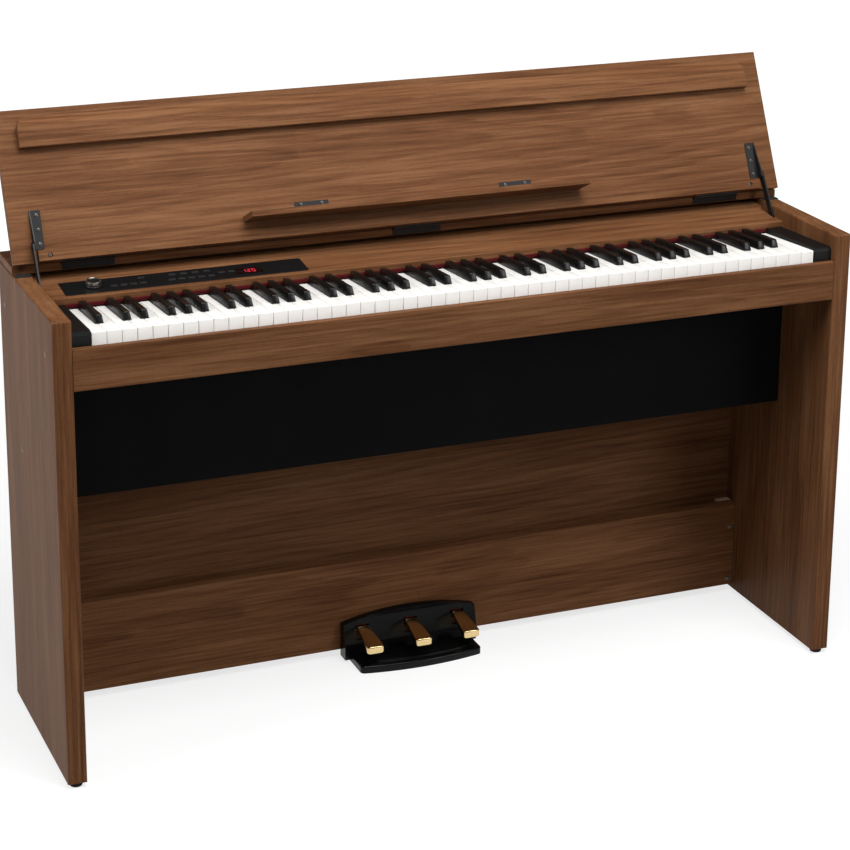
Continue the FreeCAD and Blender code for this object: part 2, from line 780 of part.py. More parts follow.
def headphone_jacks():
    """Black box under the keybed's left end with two jack sockets facing the player."""
    x0 = -inner + 18.0
    y0 = -half_d + 73.5
    box = block(x0, x0 + 56.0, y0, y0 + 42.0, keybed_bottom - 24.0, keybed_bottom)
    box = ease(box, 3.0, lambda c, e: c.z < keybed_bottom - 23.9)
    z = keybed_bottom - 13.0
    holes = [rod(V(x0 + x, y0 - 1.0, z), V(0, 1, 0), jack_len + 1.0, jack_r) for x in (16.0, 40.0)]
    return cut_all(box, holes)


# ---------------------------------------------------------------- lid, drawn closed
def opened(shape):
    """Turn a piece of the closed lid up to where the lid stands open."""
    shape.rotate(V(0, hinge_y, height), V(1, 0, 0), -lid_open_deg)
    return shape


def lid_at(s, off):
    """(y, z) of a place on the closed lid: s from the hinge axis, off below the inner face."""
    return hinge_y - s, height - lid_t - off


def lid_block(x0, x1, s0, s1, off0, off1):
    y1, z1 = lid_at(s0, off0)
    y0, z0 = lid_at(s1, off1)
    return block(x0, x1, y0, y1, z0, z1)


def lid_screw_places():
    """Screws that enter the lid's inner face, as (x, s, height of what they hold)."""
    places = []
    for sign in (-1.0, 1.0):
        for s in (30.0, 53.0, 76.0):
            places.append((sign * (stay_plate_in + 6.5), s, stay_t))
        places.append((sign * (rail_half - 19.0), 10.5, rail_t))
    for x in rest_hinge_x:
        for dx in (-18.0, 18.0):
            places.append((x + dx, rest_s + rest_hinge_r + rest_hinge_gap + 8.0, rest_leaf_t))
    for share in (-1.0, -0.5, 0.0, 0.5, 1.0):
        places.append((share * (bar_half - 80.0), (bar_s0 + bar_s1) / 2.0, 0.0))
    return places


def lid_screw(x, s, lift, bore):
    """Pan-head screw driven into the lid from inside, or its hole."""
    y, z = lid_at(s, lift)
    grow = 0.05 if bore else 0.0
    shank = rod(V(x, y, z), V(0, 0, 1), lift + 8.0, 1.4 + grow)
    head = Part.makeSphere(3.4, V(x, y, z + 1.9)).common(block(x - 4.0, x + 4.0, y - 4.0, y + 4.0, z - 4.0, z))
    return shank if bore else shank.fuse(head)


def bar_screw(x, bore):
    """Hidden dowel that joins the front bar to the lid."""
    y, z = lid_at((bar_s0 + bar_s1) / 2.0, 6.0)
    return rod(V(x, y, z), V(0, 0, 1), 12.0, 3.0 + (0.05 if bore else 0.0))


def lid_tools():
    tools = [lid_screw(x, s, lift, True) for x, s, lift in lid_screw_places() if lift > 0]
    tools += [bar_screw(x, True) for x, s, lift in lid_screw_places() if lift == 0]
    return tools


def lid_panel():
    shape = block(-lid_half, lid_half, hinge_y - lid_len, hinge_y - hinge_gap, height - lid_t, height)
    shape = ease(shape, 1.2, lambda c, e: c.y < hinge_y - hinge_gap - 1.0)
    return opened(cut_all(shape, hinge_recesses() + hinge_screws(False, True) + lid_tools()))


def lid_front_bar():
    """Bar along the lid's front with a bevelled lower edge and slanting ends."""
    z0 = -bar_t
    outline = [(bar_s0, 0.0), (bar_s0, z0 + 1.0), (bar_s0 + 1.0, z0), (bar_s1 - bar_bevel_s, z0),
               (bar_s1, z0 + bar_bevel_t), (bar_s1, 0.0)]
    points = [lid_at(s, -z) for s, z in outline]
    shape = along_x(points, -bar_half, bar_half)
    for sign in (-1.0, 1.0):
        corner = [(sign * bar_half, hinge_y - bar_s1), (sign * (bar_half - 7.0), hinge_y - bar_s1),
                  (sign * bar_half, hinge_y - bar_s1 + bar_bevel_s)]
        shape = shape.cut(along_z(corner, height - lid_t - bar_t - 1.0, height))
    return opened(cut_all(shape, lid_tools()))


def lid_ledge_rail():
    shape = lid_block(-rail_half, rail_half, rail_s0, rail_s1, 0.0, rail_t)
    shape = ease(shape, 1.0, lambda c, e: c.z < height - lid_t - rail_t + 0.01)
    counter = []
    for x, s, lift in lid_screw_places():
        if lift == rail_t:
            y, z = lid_at(s, rail_t)
            counter.append(rod(V(x, y, z), V(0, 0, 1), 3.0, 3.7))
    return opened(cut_all(shape, lid_tools() + counter))


def lid_screws():
    made = []
    for x, s, lift in lid_screw_places():
        if lift == 0:
            made.append(bar_screw(x, False))
        elif lift == rail_t:
            made.append(lid_screw(x, s, rail_t - 3.0, False))
        else:
            made.append(lid_screw(x, s, lift, False))
    made += hinge_screws(False, False)
    return [opened(s) for s in made]


# ---------------------------------------------------------------- lid hinges
def hinge_recesses():
    """Round clearance in both boards for the hinge barrels."""
    half = hinge_len / 2.0 + 0.5
    return [rod(V(x - half, hinge_y, height), V(1, 0, 0), 2.0 * half, hinge_r + hinge_clear) for x in hinge_x]


def knuckle(x, share):
    """One third of a hinge's barrel: the fixed leaf has the two ends, the moving leaf the middle."""
    third = hinge_len / 3.0
    start = {"low": -1.5, "mid": -0.5, "high": 0.5}[share] * third
    gap = 0.15
    return rod(V(x + start + gap, hinge_y, height), V(1, 0, 0), third - 2.0 * gap, hinge_r)


def hinge_leaf(x, fixed):
    """Thin leaf with its share of the barrel, bored for the pin. Drawn with the lid closed."""
    sign = 1.0 if fixed else -1.0
    face = hinge_y + sign * hinge_gap
    y0 = min(face, face - sign * hinge_leaf_t)
    half = hinge_len / 2.0
    plate = block(x - half, x + half, y0, y0 + hinge_leaf_t, height - top_t + 1.0, height)
    mine = ("low", "high") if fixed else ("mid",)
    other = ("mid",) if fixed else ("low", "high")
    third = hinge_len / 3.0
    for share in other:
        start = {"low": -1.5, "mid": -0.5, "high": 0.5}[share] * third
        way = rod(V(x + start - 0.2, hinge_y, height), V(1, 0, 0), third + 0.4, hinge_r + hinge_clear)
        plate = plate.cut(way)
    leaf = join([plate] + [knuckle(x, share) for share in mine])
    leaf = leaf.cut(rod(V(x - half - 1.0, hinge_y, height), V(1, 0, 0), hinge_len + 2.0, hinge_pin_r + pin_clear))
    return cut_all(leaf, hinge_screws(fixed, True))


def hinge_screws(fixed, bore):
    """Small screws through a leaf into the edge of its board."""
    sign = 1.0 if fixed else -1.0
    face = hinge_y + sign * hinge_gap
    made = []
    for x in hinge_x:
        for dx, dz in ((-32.0, 0.0), (-11.0, -1.0), (11.0, 0.0), (32.0, -1.0)):
            z = height - top_t + 5.0 + dz
            r = 1.0 + (0.05 if bore else 0.0)
            start = face - sign * (hinge_leaf_t + (0.5 if bore else 0.0))
            shank = rod(V(x + dx, start, z), V(0, sign, 0), 9.0 if bore else 8.0, r)
            if not bore:
                head = rod(V(x + dx, start - sign * 0.5, z), V(0, sign, 0), 0.5, 2.2) if fixed else None
                shank = shank.fuse(head) if head else shank
            made.append(shank)
    return made


def lid_hinge_fixed_leaves():
    """Leaves on the rear top board with the pins, and the screws that hold them."""
    made = [hinge_leaf(x, True) for x in hinge_x]
    half = hinge_len / 2.0
    made += [rod(V(x - half, hinge_y, height), V(1, 0, 0), hinge_len, hinge_pin_r) for x in hinge_x]
    return made + hinge_screws(True, False)


def lid_hinge_moving_leaves():
    return [opened(hinge_leaf(x, False)) for x in hinge_x]


# ---------------------------------------------------------------- lid stays
def stay_bracket_right():
    """Steel plate on the lid with a flange at right angles that grows towards the hinge."""
    plate = lid_block(stay_plate_in, stay_flange_out, stay_s0, stay_s1, 0.0, stay_t)
    plate = ease(plate, 2.0, lambda c, e: abs(c.x - stay_plate_in) < 0.01 and abs(e.Length - stay_t) < 0.01)
    outline = [(stay_s0, 0.0), (stay_s0, stay_flange_h), (stay_s0 + 11.0, stay_flange_h),
               (stay_s1, stay_t + 0.5), (stay_s1, 0.0)]
    points = [lid_at(s, off) for s, off in outline]
    flange = along_x(points, stay_flange_out - stay_t, stay_flange_out)
    y, z = lid_at(stay_pivot_s, stay_pivot_off)
    hole = rod(V(stay_flange_out - 5.0, y, z), V(1, 0, 0), 10.0, stay_pivot_r + pin_clear)
    return cut_all(join([plate, flange]), lid_tools() + [hole])


def stay_rivet_right():
    """Headed rivet through the flange and the arm."""
    y, z = lid_at(stay_pivot_s, stay_pivot_off)
    x0 = stay_flange_out - stay_t
    x1 = stay_flange_out + arm_gap + arm_t
    inner_head = rod(V(x0 - 1.0, y, z), V(1, 0, 0), 1.0 - 0.05, 4.0)
    outer_head = rod(V(x1 + 0.2, y, z), V(1, 0, 0), 0.8, 4.0)
    shank = rod(V(x0 - 1.0, y, z), V(1, 0, 0), x1 + 1.2 - x0, stay_pivot_r)
    return join([inner_head, shank, outer_head])


def stay_brackets():
    return [opened(s) for s in both_ends(stay_bracket_right()) + both_ends(stay_rivet_right())]


def arm_pivot():
    """(y, z) of the stay's pivot with the lid open."""
    turn = math.radians(-lid_open_deg)
    y = -stay_pivot_s
    z = -(lid_t + stay_pivot_off)
    return (hinge_y + y * math.cos(turn) - z * math.sin(turn), height + y * math.sin(turn) + z * math.cos(turn))


def stay_arms():
    """Flat bars that hang from the brackets into the slots, drawn with the lid open."""
    py, pz = arm_pivot()
    x0 = stay_flange_out + arm_gap
    r = arm_w / 2.0
    bar = block(x0, x0 + arm_t, py - r, py + r, pz - arm_len, pz)
    ends = [rod(V(x0, py, z), V(1, 0, 0), arm_t, r) for z in (pz, pz - arm_len)]
    arm = join([bar] + ends)
    arm = arm.cut(rod(V(x0 - 1.0, py, pz), V(1, 0, 0), arm_t + 2.0, stay_pivot_r + pin_clear))
    arm.rotate(V(0, py, pz), V(1, 0, 0), -arm_lean_deg)
    return both_ends(arm)


def stay_guides():
    """Plastic guide on the keybed beside each arm's lower end."""
    low = keybed_top
    x0 = stay_flange_out - 6.0
    foot = low + 2.0
    top = low + guide_h
    outline = [(x0, low), (inner, low), (inner, foot), (x0 + 3.0, foot), (x0 + 3.0, top), (x0, top)]
    return both_ends(along_y(outline, slot_y0 + 2.0, slot_y1 - 2.0))


# ---------------------------------------------------------------- music rest, drawn with the lid closed
def rest_axis():
    """(s, off) of the music rest's hinge."""
    return rest_s + rest_hinge_r + rest_hinge_gap, rest_hinge_r + rest_hinge_gap


def rest_screws(bore):
    """Screws through the hinge leaves into the rest's upper face."""
    made = []
    s_axis, off_axis = rest_axis()
    for x in rest_hinge_x:
        for dx in (-18.0, 18.0):
            y, z = lid_at(rest_s + rest_leaf_t, off_axis + 8.0)
            shank = rod(V(x + dx, y, z), V(0, 1, 0), rest_leaf_t + 5.0, 1.2 + (0.05 if bore else 0.0))
            head = rod(V(x + dx, y - 0.6, z), V(0, 1, 0), 0.6, 2.4)
            made.append(shank if bore else shank.fuse(head))
    return made


def music_rest():
    """Board that stands straight out of the lid, with slanting ends."""
    s0 = rest_s - rest_t
    shape = lid_block(-rest_half, rest_half, s0, rest_s, rest_lift, rest_depth)
    shape = ease(shape, 1.0, lambda c, e: c.z < height - lid_t - rest_depth + 0.01)
    return opened(cut_all(shape, rest_screws(True)))


def rest_knuckle(x, start, length):
    s_axis, off_axis = rest_axis()
    y, z = lid_at(s_axis, off_axis)
    return rod(V(x + start, y, z), V(1, 0, 0), length, rest_hinge_r)


def rest_hinge_leaf(x, fixed):
    s_axis, off_axis = rest_axis()
    y, z = lid_at(s_axis, off_axis)
    half = rest_hinge_len / 2.0
    third = rest_hinge_len / 3.0
    if fixed:
        plate = lid_block(x - half, x + half, s_axis, s_axis + rest_leaf_w, 0.0, rest_leaf_t)
        neck = lid_block(x - half, x + half, s_axis - 0.6, s_axis + 0.6, 0.0, off_axis - rest_hinge_r + 0.4)
        plate = plate.fuse(neck)
        mine = [(-half, third - 0.15), (half - third + 0.15, third - 0.15)]
        theirs = [(-half + third - 0.2, third + 0.4)]
    else:
        plate = lid_block(x - half, x + half, rest_s, rest_s + rest_leaf_t, off_axis, off_axis + rest_leaf_w)
        neck = lid_block(x - half, x + half, rest_s, s_axis - rest_hinge_r + 0.4, off_axis - 0.6, off_axis + 0.6)
        plate = plate.fuse(neck)
        mine = [(-half + third + 0.15, third - 0.3)]
        theirs = [(-half - 0.2, third + 0.4), (half - third - 0.2, third + 0.4)]
    for start, length in theirs:
        plate = plate.cut(rod(V(x + start, y, z), V(1, 0, 0), length, rest_hinge_r + 0.25))
    leaf = join([plate] + [rest_knuckle(x, start, length) for start, length in mine])
    leaf = leaf.cut(rod(V(x - half - 1.0, y, z), V(1, 0, 0), rest_hinge_len + 2.0, 1.0 + pin_clear))
    return cut_all(leaf, lid_tools() if fixed else rest_screws(True))


def rest_hinge_fixed_leaves():
    """Leaves on the lid, with their pins."""
    s_axis, off_axis = rest_axis()
    y, z = lid_at(s_axis, off_axis)
    made = [rest_hinge_leaf(x, True) for x in rest_hinge_x]
    made += [rod(V(x - rest_hinge_len / 2.0, y, z), V(1, 0, 0), rest_hinge_len, 1.0) for x in rest_hinge_x]
    return [opened(s) for s in made]


def rest_hinge_moving_leaves():
    """Leaves on the music rest, with their screws."""
    made = [rest_hinge_leaf(x, False) for x in rest_hinge_x] + rest_screws(False)
    return [opened(s) for s in made]


# ---------------------------------------------------------------- pedals
def pedal_side():
    """(y, z) outline of a pedal: thick rounded tip, thin shank, lug round the shaft."""
    y0 = pedal_tip_y
    top = pedal_tip_z
    return [(y0, top - 3.0), (y0 + 2.0, top - 0.6), (y0 + 5.0, top), (pedal_root_y, pedal_root_z),
            (pedal_pivot_y + 6.0, pedal_root_z + 0.5), (pedal_pivot_y + 6.0, pedal_pivot_z - 6.0),
            (pedal_pivot_y - 8.0, pedal_pivot_z - 6.0), (pedal_root_y - 6.0, pedal_root_z - pedal_t),
            (y0 + 22.0, top - pedal_t), (y0 + 10.0, top - pedal_tip_t + 1.5), (y0 + 5.0, top - pedal_tip_t),
            (y0 + 2.0, top - pedal_tip_t + 1.0), (y0, top - pedal_tip_t + 4.0)]


def pedal(x):
    """Cast pedal, wide at the tip and narrow at the root."""
    side = along_x(pedal_side(), x - pedal_tip_w, x + pedal_tip_w)
    tip = pedal_tip_w / 2.0
    root = pedal_root_w / 2.0
    y0 = pedal_tip_y
    y1 = pedal_pivot_y + 7.0
    right = [(tip - 3.0, y0 - 0.1), (tip - 0.8, y0 + 1.5), (tip, y0 + 5.0), (tip - 0.6, y0 + 18.0), (root, y0 + 42.0),
             (root, y1)]
    plan = [(x + side_x, y) for side_x, y in right] + [(x - side_x, y) for side_x, y in reversed(right)]
    shape = side.common(along_z(plan, 0.0, 100.0))
    hole = rod(V(x - pedal_tip_w, pedal_pivot_y, pedal_pivot_z), V(1, 0, 0), 2.0 * pedal_tip_w,
               pedal_shaft_r + pivot_clear)
    return shape.cut(hole)


def pedal_shaft():
    half = hood_half - hood_wall + 1.0
    return rod(V(-half, pedal_pivot_y, pedal_pivot_z), V(1, 0, 0), 2.0 * half, pedal_shaft_r)


def arch_prism(inset, y0, y1):
    """Solid under the hood's arched outline, drawn in by an inset."""
    half = hood_half - inset
    end = hood_end_z - inset
    mid = hood_mid_z - inset
    low = hood_bottom - (1.0 if inset > 0 else 0.0)
    arc = Part.Arc(V(-half, y0, end), V(0, y0, mid), V(half, y0, end)).toShape()
    rest = Part.makePolygon([V(half, y0, end), V(half, y0, low), V(-half, y0, low), V(-half, y0, end)])
    return Part.Face(Part.Wire(arc.Edges + rest.Edges)).extrude(V(0, y1 - y0, 0))


def hood_profile(inset):
    """Solid with the hood's side outline: a nose at the bottom that leans back to the top."""
    back = lower_front
    y0 = back - hood_nose + inset
    y1 = back - hood_roof + inset
    low = hood_bottom - (1.0 if inset > 0 else 0.0)
    top = hood_mid_z - inset * 0.6
    outline = [(back, low), (back, top), (y1, top), (y1 - 4.0, top - 3.0),
               (y0 + 4.0, hood_end_z - 18.0 - inset), (y0, hood_end_z - 34.0 - inset), (y0, low)]
    return along_x(outline, -hood_half, hood_half)


def pedal_hood():
    """Gloss black shell on the lower board, with three slots for the pedals and two shaft walls."""
    outer = arch_prism(0.0, lower_front - 40.0, lower_front).common(hood_profile(0.0))
    hollow = arch_prism(hood_wall, lower_front - 40.0, lower_front).common(hood_profile(hood_wall))
    shape = outer.cut(hollow)
    for x in (-pedal_pitch, 0.0, pedal_pitch):
        half = pedal_root_w / 2.0 + 1.5
        shape = shape.cut(block(x - half, x + half, lower_front - 40.0, lower_front - hood_roof - 1.0,
                                pedal_pivot_z - 14.0, pedal_root_z + 2.0))
    hole = rod(V(-hood_half - 1.0, pedal_pivot_y, pedal_pivot_z), V(1, 0, 0), 2.0 * hood_half + 2.0,
               pedal_shaft_r + pivot_clear)
    bosses = []
    for x in (-pedal_pitch / 2.0, pedal_pitch / 2.0):
        bosses.append(block(x - 2.0, x + 2.0, pedal_pivot_y - 6.0, lower_front, base_h + 0.5, hood_end_z))
    ends = block(-hood_half + 1.0, hood_half - 1.0, pedal_pivot_y - 6.0, pedal_pivot_y + 6.0, 0.0, 100.0)
    inner_hole = hole.common(ends)
    shape = join([shape] + [b.common(outer) for b in bosses])
    return shape.cut(inner_hole)


def pedal_base():
    """Floor plate with a curved front, a rim and a raised rib, under the hood."""
    back = lower_front + lower_t
    front = (V(-base_half, base_front_end, 0), V(0, base_front_mid, 0), V(base_half, base_front_end, 0))
    arc = Part.Arc(*front).toShape()
    rest = Part.makePolygon([V(base_half, base_front_end, 0), V(base_half, back, 0), V(-base_half, back, 0),
                             V(-base_half, base_front_end, 0)])
    plate = Part.Face(Part.Wire(arc.Edges + rest.Edges)).extrude(V(0, 0, base_h))
    plate = ease(plate, base_corner_r, lambda c, e: abs(c.y - base_front_end) < 0.01 and abs(c.z - base_h / 2.0) < 0.01)
    plate = ease(plate, 3.0, lambda c, e: c.z > base_h - 0.01 and c.y < base_front_end + 30.0)
    cutter = block(-hood_half - 1.0, hood_half + 1.0, lower_front - hood_nose - 0.3, back + 1.0,
                   hood_bottom - 0.3, base_h + 1.0)
    plate = plate.cut(cutter)
    half = base_half - 14.0
    arcs = []
    for step in (0.0, base_rib_w):
        end_y = base_front_end + 11.0 + step
        mid_y = base_front_mid + 13.0 + step
        ends = (V(-half, end_y, base_h), V(0, mid_y, base_h), V(half, end_y, base_h))
        arcs.append((Part.Arc(*ends).toShape(), end_y))
    (rib_low, low_y), (rib_high, high_y) = arcs
    ends = [Part.makeLine(V(half, low_y, base_h), V(half, high_y, base_h)),
            Part.makeLine(V(-half, high_y, base_h), V(-half, low_y, base_h))]
    outline = Part.Wire(Part.__sortEdges__(rib_low.Edges + rib_high.Edges + ends))
    rib = Part.Face(outline).extrude(V(0, 0, base_rib_h))
    return join([plate, rib])


# ---------------------------------------------------------------- the list of nodes
def all_nodes():
    right = side_panel_right()
    nodes = {
        "side_panel_left": [mirror_x(right)],
        "side_panel_right": [right],
        "rear_top_board": [rear_top_board()],
        "back_panel": [back_panel()],
        "lower_board": [lower_board()],
        "keybed": [keybed()],
        "keyslip": [keyslip()],
        "under_key_panel": [under_key_panel()],
        "control_board": [control_board()],
        "cheek_blocks": cheek_blocks(),
        "felt_strip": [felt_strip()],
        "feet": feet(),
        "lid_pads": lid_pads(),
        "cover_caps": cover_caps(),
        "cabinet_screws": cabinet_screws(),
        "corner_blocks": corner_blocks(),
        "lid_hinge_fixed_leaves": lid_hinge_fixed_leaves(),
        "key_frame": [key_frame()],
        "key_pivot_rod": [key_pivot_rod()],
        "key_sensor_board": [key_sensor_board()],
        "rubber_contact_strip": [rubber_contact_strip()],
        "main_circuit_board": [main_circuit_board()],
        "speakers": [speaker(-speaker_x), speaker(speaker_x)],
        "power_inlet": [power_inlet()],
        "headphone_jacks": [headphone_jacks()],
        "control_plate": [control_plate()],
        "display_window": [display_window()],
        "stay_guides": stay_guides(),
        "pedal_hood": [pedal_hood()],
        "pedal_base": [pedal_base()],
        "pedal_shaft": [pedal_shaft()],
        "lid_panel": [lid_panel()],
        "lid_front_bar": [lid_front_bar()],
        "lid_ledge_rail": [lid_ledge_rail()],
        "lid_hinge_moving_leaves": lid_hinge_moving_leaves(),
        "lid_screws": lid_screws(),
        "stay_brackets": stay_brackets(),
        "rest_hinge_fixed_leaves": rest_hinge_fixed_leaves(),
        "stay_arms": stay_arms(),
        "music_rest": [music_rest()],
        "rest_hinge_moving_leaves": rest_hinge_moving_leaves(),
        "volume_knob": [volume_knob()],
        "panel_buttons": panel_buttons(),
        "pedal_left": [pedal(-pedal_pitch)],
        "pedal_middle": [pedal(0.0)],
        "pedal_right": [pedal(pedal_pitch)],
    }
    nodes.update(key_nodes())
    return nodes


def solids_of(shapes):
    return [solid for shape in shapes for solid in shape.Solids]


os.makedirs("parts", exist_ok=True)
for name, shapes in all_nodes().items():
    solids = solids_of(shapes)
    whole = solids[0] if len(solids) == 1 else Part.makeCompound(solids)
    whole.translate(V(0, shift_y, 0))
    whole.exportStep("parts/" + name + ".step")
    bad = [s for s in solids if not s.isValid() or s.Volume <= 0]
    print(name, len(solids), round(sum(s.Volume for s in solids) / 1000.0, 2), "invalid" if bad else "")
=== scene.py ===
import json
import math

import bmesh
import bpy
import numpy as np
from mathutils import Matrix, Vector

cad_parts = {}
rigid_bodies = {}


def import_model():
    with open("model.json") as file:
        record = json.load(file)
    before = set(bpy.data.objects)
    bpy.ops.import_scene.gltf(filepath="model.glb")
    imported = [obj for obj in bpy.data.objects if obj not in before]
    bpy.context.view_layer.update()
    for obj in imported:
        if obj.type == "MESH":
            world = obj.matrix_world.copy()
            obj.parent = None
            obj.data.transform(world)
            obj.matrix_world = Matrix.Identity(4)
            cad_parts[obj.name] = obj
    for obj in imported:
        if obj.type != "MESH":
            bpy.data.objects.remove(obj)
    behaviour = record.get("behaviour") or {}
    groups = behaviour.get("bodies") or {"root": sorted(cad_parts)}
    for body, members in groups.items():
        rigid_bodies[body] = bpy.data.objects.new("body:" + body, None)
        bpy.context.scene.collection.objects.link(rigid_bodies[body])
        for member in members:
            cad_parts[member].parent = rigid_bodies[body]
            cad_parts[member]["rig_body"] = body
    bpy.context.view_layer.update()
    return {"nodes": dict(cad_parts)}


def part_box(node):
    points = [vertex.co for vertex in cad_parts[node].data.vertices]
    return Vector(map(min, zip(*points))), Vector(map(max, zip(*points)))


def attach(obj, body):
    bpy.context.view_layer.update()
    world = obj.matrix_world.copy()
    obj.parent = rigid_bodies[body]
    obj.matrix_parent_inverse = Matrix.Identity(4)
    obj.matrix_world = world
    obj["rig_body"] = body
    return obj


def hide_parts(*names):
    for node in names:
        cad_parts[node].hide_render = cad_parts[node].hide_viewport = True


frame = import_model()


# Side panels: two uprights of particle board wrapped in walnut-print foil, with the grain running up.
# Everything else is screwed or cammed between them, so their outer faces show only three capped holes.
class Wire:
    """One output of a finish's node. A sum written on it lays down the Math nodes that work it out."""

    def __init__(self, finish, socket):
        self.finish = finish
        self.socket = socket

    def maths(self, operation, *terms):
        return self.finish.lay("ShaderNodeMath", {"operation": operation}, dict(enumerate(terms)))

    def __add__(self, other):
        return self.maths("ADD", self, other)

    def __radd__(self, other):
        return self.maths("ADD", other, self)

    def __sub__(self, other):
        return self.maths("SUBTRACT", self, other)

    def __rsub__(self, other):
        return self.maths("SUBTRACT", other, self)

    def __mul__(self, other):
        return self.maths("MULTIPLY", self, other)

    def __rmul__(self, other):
        return self.maths("MULTIPLY", other, self)

    def __truediv__(self, other):
        return self.maths("DIVIDE", self, other)

    def __pow__(self, other):
        return self.maths("POWER", self, other)

    def above(self, low, high):
        """0 up to low, 1 from high on, and even steps between."""
        return self.finish.lay("ShaderNodeMapRange", {"interpolation_type": "SMOOTHSTEP"},
                               {"Value": self, "From Min": low, "From Max": high})


class Finish:
    """A finish being mixed on one material, for the whole of a piece."""

    def __init__(self, name, fixed):
        self.material = bpy.data.materials.new(name)
        self.material.use_nodes = True
        self.tree = self.material.node_tree
        self.surface = self.tree.nodes["Principled BSDF"]
        self.join(self.surface, fixed)
        self.place = self.lay("ShaderNodeTexCoord", {}, {}, "Object")

    def join(self, node, inputs):
        for name, value in inputs.items():
            if isinstance(value, Wire):
                self.tree.links.new(value.socket, node.inputs[name])
            else:
                node.inputs[name].default_value = value

    def lay(self, kind, settings, inputs, output=0):
        """Put down a node: its settings or a ramp's stops, then its inputs. Gives the output asked for."""
        node = self.tree.nodes.new(kind)
        for name, value in settings.items():
            if name == "stops":
                ends = node.color_ramp.elements
                ends[0].position, ends[-1].position = value[0][0], value[-1][0]
                for stop in value[1:-1]:
                    ends.new(stop[0])
                for end, stop in zip(ends, value):
                    end.color = (*stop[1], 1.0)
            else:
                setattr(node, name, value)
        self.join(node, inputs)
        return Wire(self, node.outputs[output])

    def stretched(self, vector, amounts):
        return self.lay("ShaderNodeVectorMath", {"operation": "MULTIPLY"}, {0: vector, 1: amounts})

    def noise(self, vector, amounts, detail=3.0, roughness=0.55):
        """Noise whose patches are 1 / amounts metres long along each axis."""
        return self.lay("ShaderNodeTexNoise", {}, {"Vector": self.stretched(vector, amounts), "Scale": 1.0,
                                                   "Detail": detail, "Roughness": roughness})

    def between(self, amount, first, second):
        """Colour that goes from first to second as amount goes from 0 to 1."""
        ends = [value if isinstance(value, Wire) else (*value, 1.0) for value in (first, second)]
        return self.lay("ShaderNodeMix", {"data_type": "RGBA"}, {0: amount, 6: ends[0], 7: ends[1]}, 2)

    def relief(self, height, depth):
        """Normal of a surface that rises by depth metres where height is 1."""
        return self.lay("ShaderNodeBump", {}, {"Height": height, "Distance": depth})

    def show(self, colour, roughness, normal, more=None):
        wanted = {"Base Color": colour, "Roughness": roughness, "Normal": normal}
        wanted.update(more or {})
        self.join(self.surface, wanted)
        return self.material


def walnut(name, turn, heart, lean, shade=1.0):
    """Walnut print. The distance from a heart line that leans through the board, bent by slow noise, is cut
    into rings that darken outwards. Streaks and pores are noise drawn out along the grain."""
    finish = Finish(name, {"Specular IOR Level": 0.06})
    board = finish.lay("ShaderNodeMapping", {}, {"Vector": finish.place, "Rotation": turn, "Location": heart})
    axes = [finish.lay("ShaderNodeSeparateXYZ", {}, {"Vector": board}, axis) for axis in "XYZ"]
    slow = finish.noise(board, (1.7, 9.0, 9.0), 2.0) - 0.5
    wander = finish.noise(board, (5.0, 28.0, 28.0), 3.0) - 0.5
    across = axes[1] + slow * 0.06
    away = (across * across + axes[2] * axes[2]) ** 0.5 + axes[0] * lean + wander * 0.016
    ring = (away / 0.013).maths("FRACT", away / 0.013)
    late = ring ** 2.4 - ring ** 16.0
    streak = finish.noise(board, (6.5, 230.0, 230.0), 5.0, 0.66)
    broad = finish.noise(board, (2.2, 20.0, 20.0), 3.0)
    pore = finish.noise(board, (110.0, 1900.0, 1900.0), 1.0).above(0.60, 0.74)
    tone = streak * 0.60 + broad * 0.40 - late * 0.11 + 0.035
    dark, middle, light = ((0.078, 0.029, 0.0115), (0.152, 0.064, 0.0265), (0.228, 0.107, 0.049))
    # shade scales every colour of the print. Above 1 it makes a lighter copy of the same foil, a painted lightness
    # that stands in for light falling on that piece.
    stops = [(place, tuple(shade * part for part in colour))
             for place, colour in ((0.33, dark), (0.50, middle), (0.66, light))]
    wood = finish.lay("ShaderNodeValToRGB", {"stops": stops}, {"Fac": tone})
    wood = finish.between(pore * 0.45, wood, tuple(shade * part for part in (0.040, 0.014, 0.005)))
    return finish.show(wood, 0.40 + streak * 0.18, finish.relief(streak * 0.5 - pore, 0.00010))


def clad(node, material):
    """Give a CAD node its finish, in every material slot that it came with."""
    for slot in frame["nodes"][node].material_slots:
        slot.link = "DATA"
        slot.material = material


upright = (0.0, math.pi / 2, 0.0)
clad("side_panel_left", walnut("walnut_upright_left", upright, (0.0, 0.05, 0.55), 0.010))
clad("side_panel_right", walnut("walnut_upright_right", upright, (0.3, -0.07, -0.78), 0.012))


# Rear top board, keyslip, back panel and lower board: walnut-print boards with the grain running across,
# fixed between the side panels by the corner blocks behind them.
level = (0.0, 0.0, 0.0)
clad("rear_top_board", walnut("walnut_rear_board", level, (0.2, 0.06, -0.66), 0.015))
clad("keyslip", walnut("walnut_keyslip", level, (0.1, 0.21, -0.66), 0.020))
clad("back_panel", walnut("walnut_back", level, (0.4, 0.02, -0.52), 0.030))
clad("lower_board", walnut("walnut_lower_board", level, (0.7, -0.04, -0.13), 0.025))


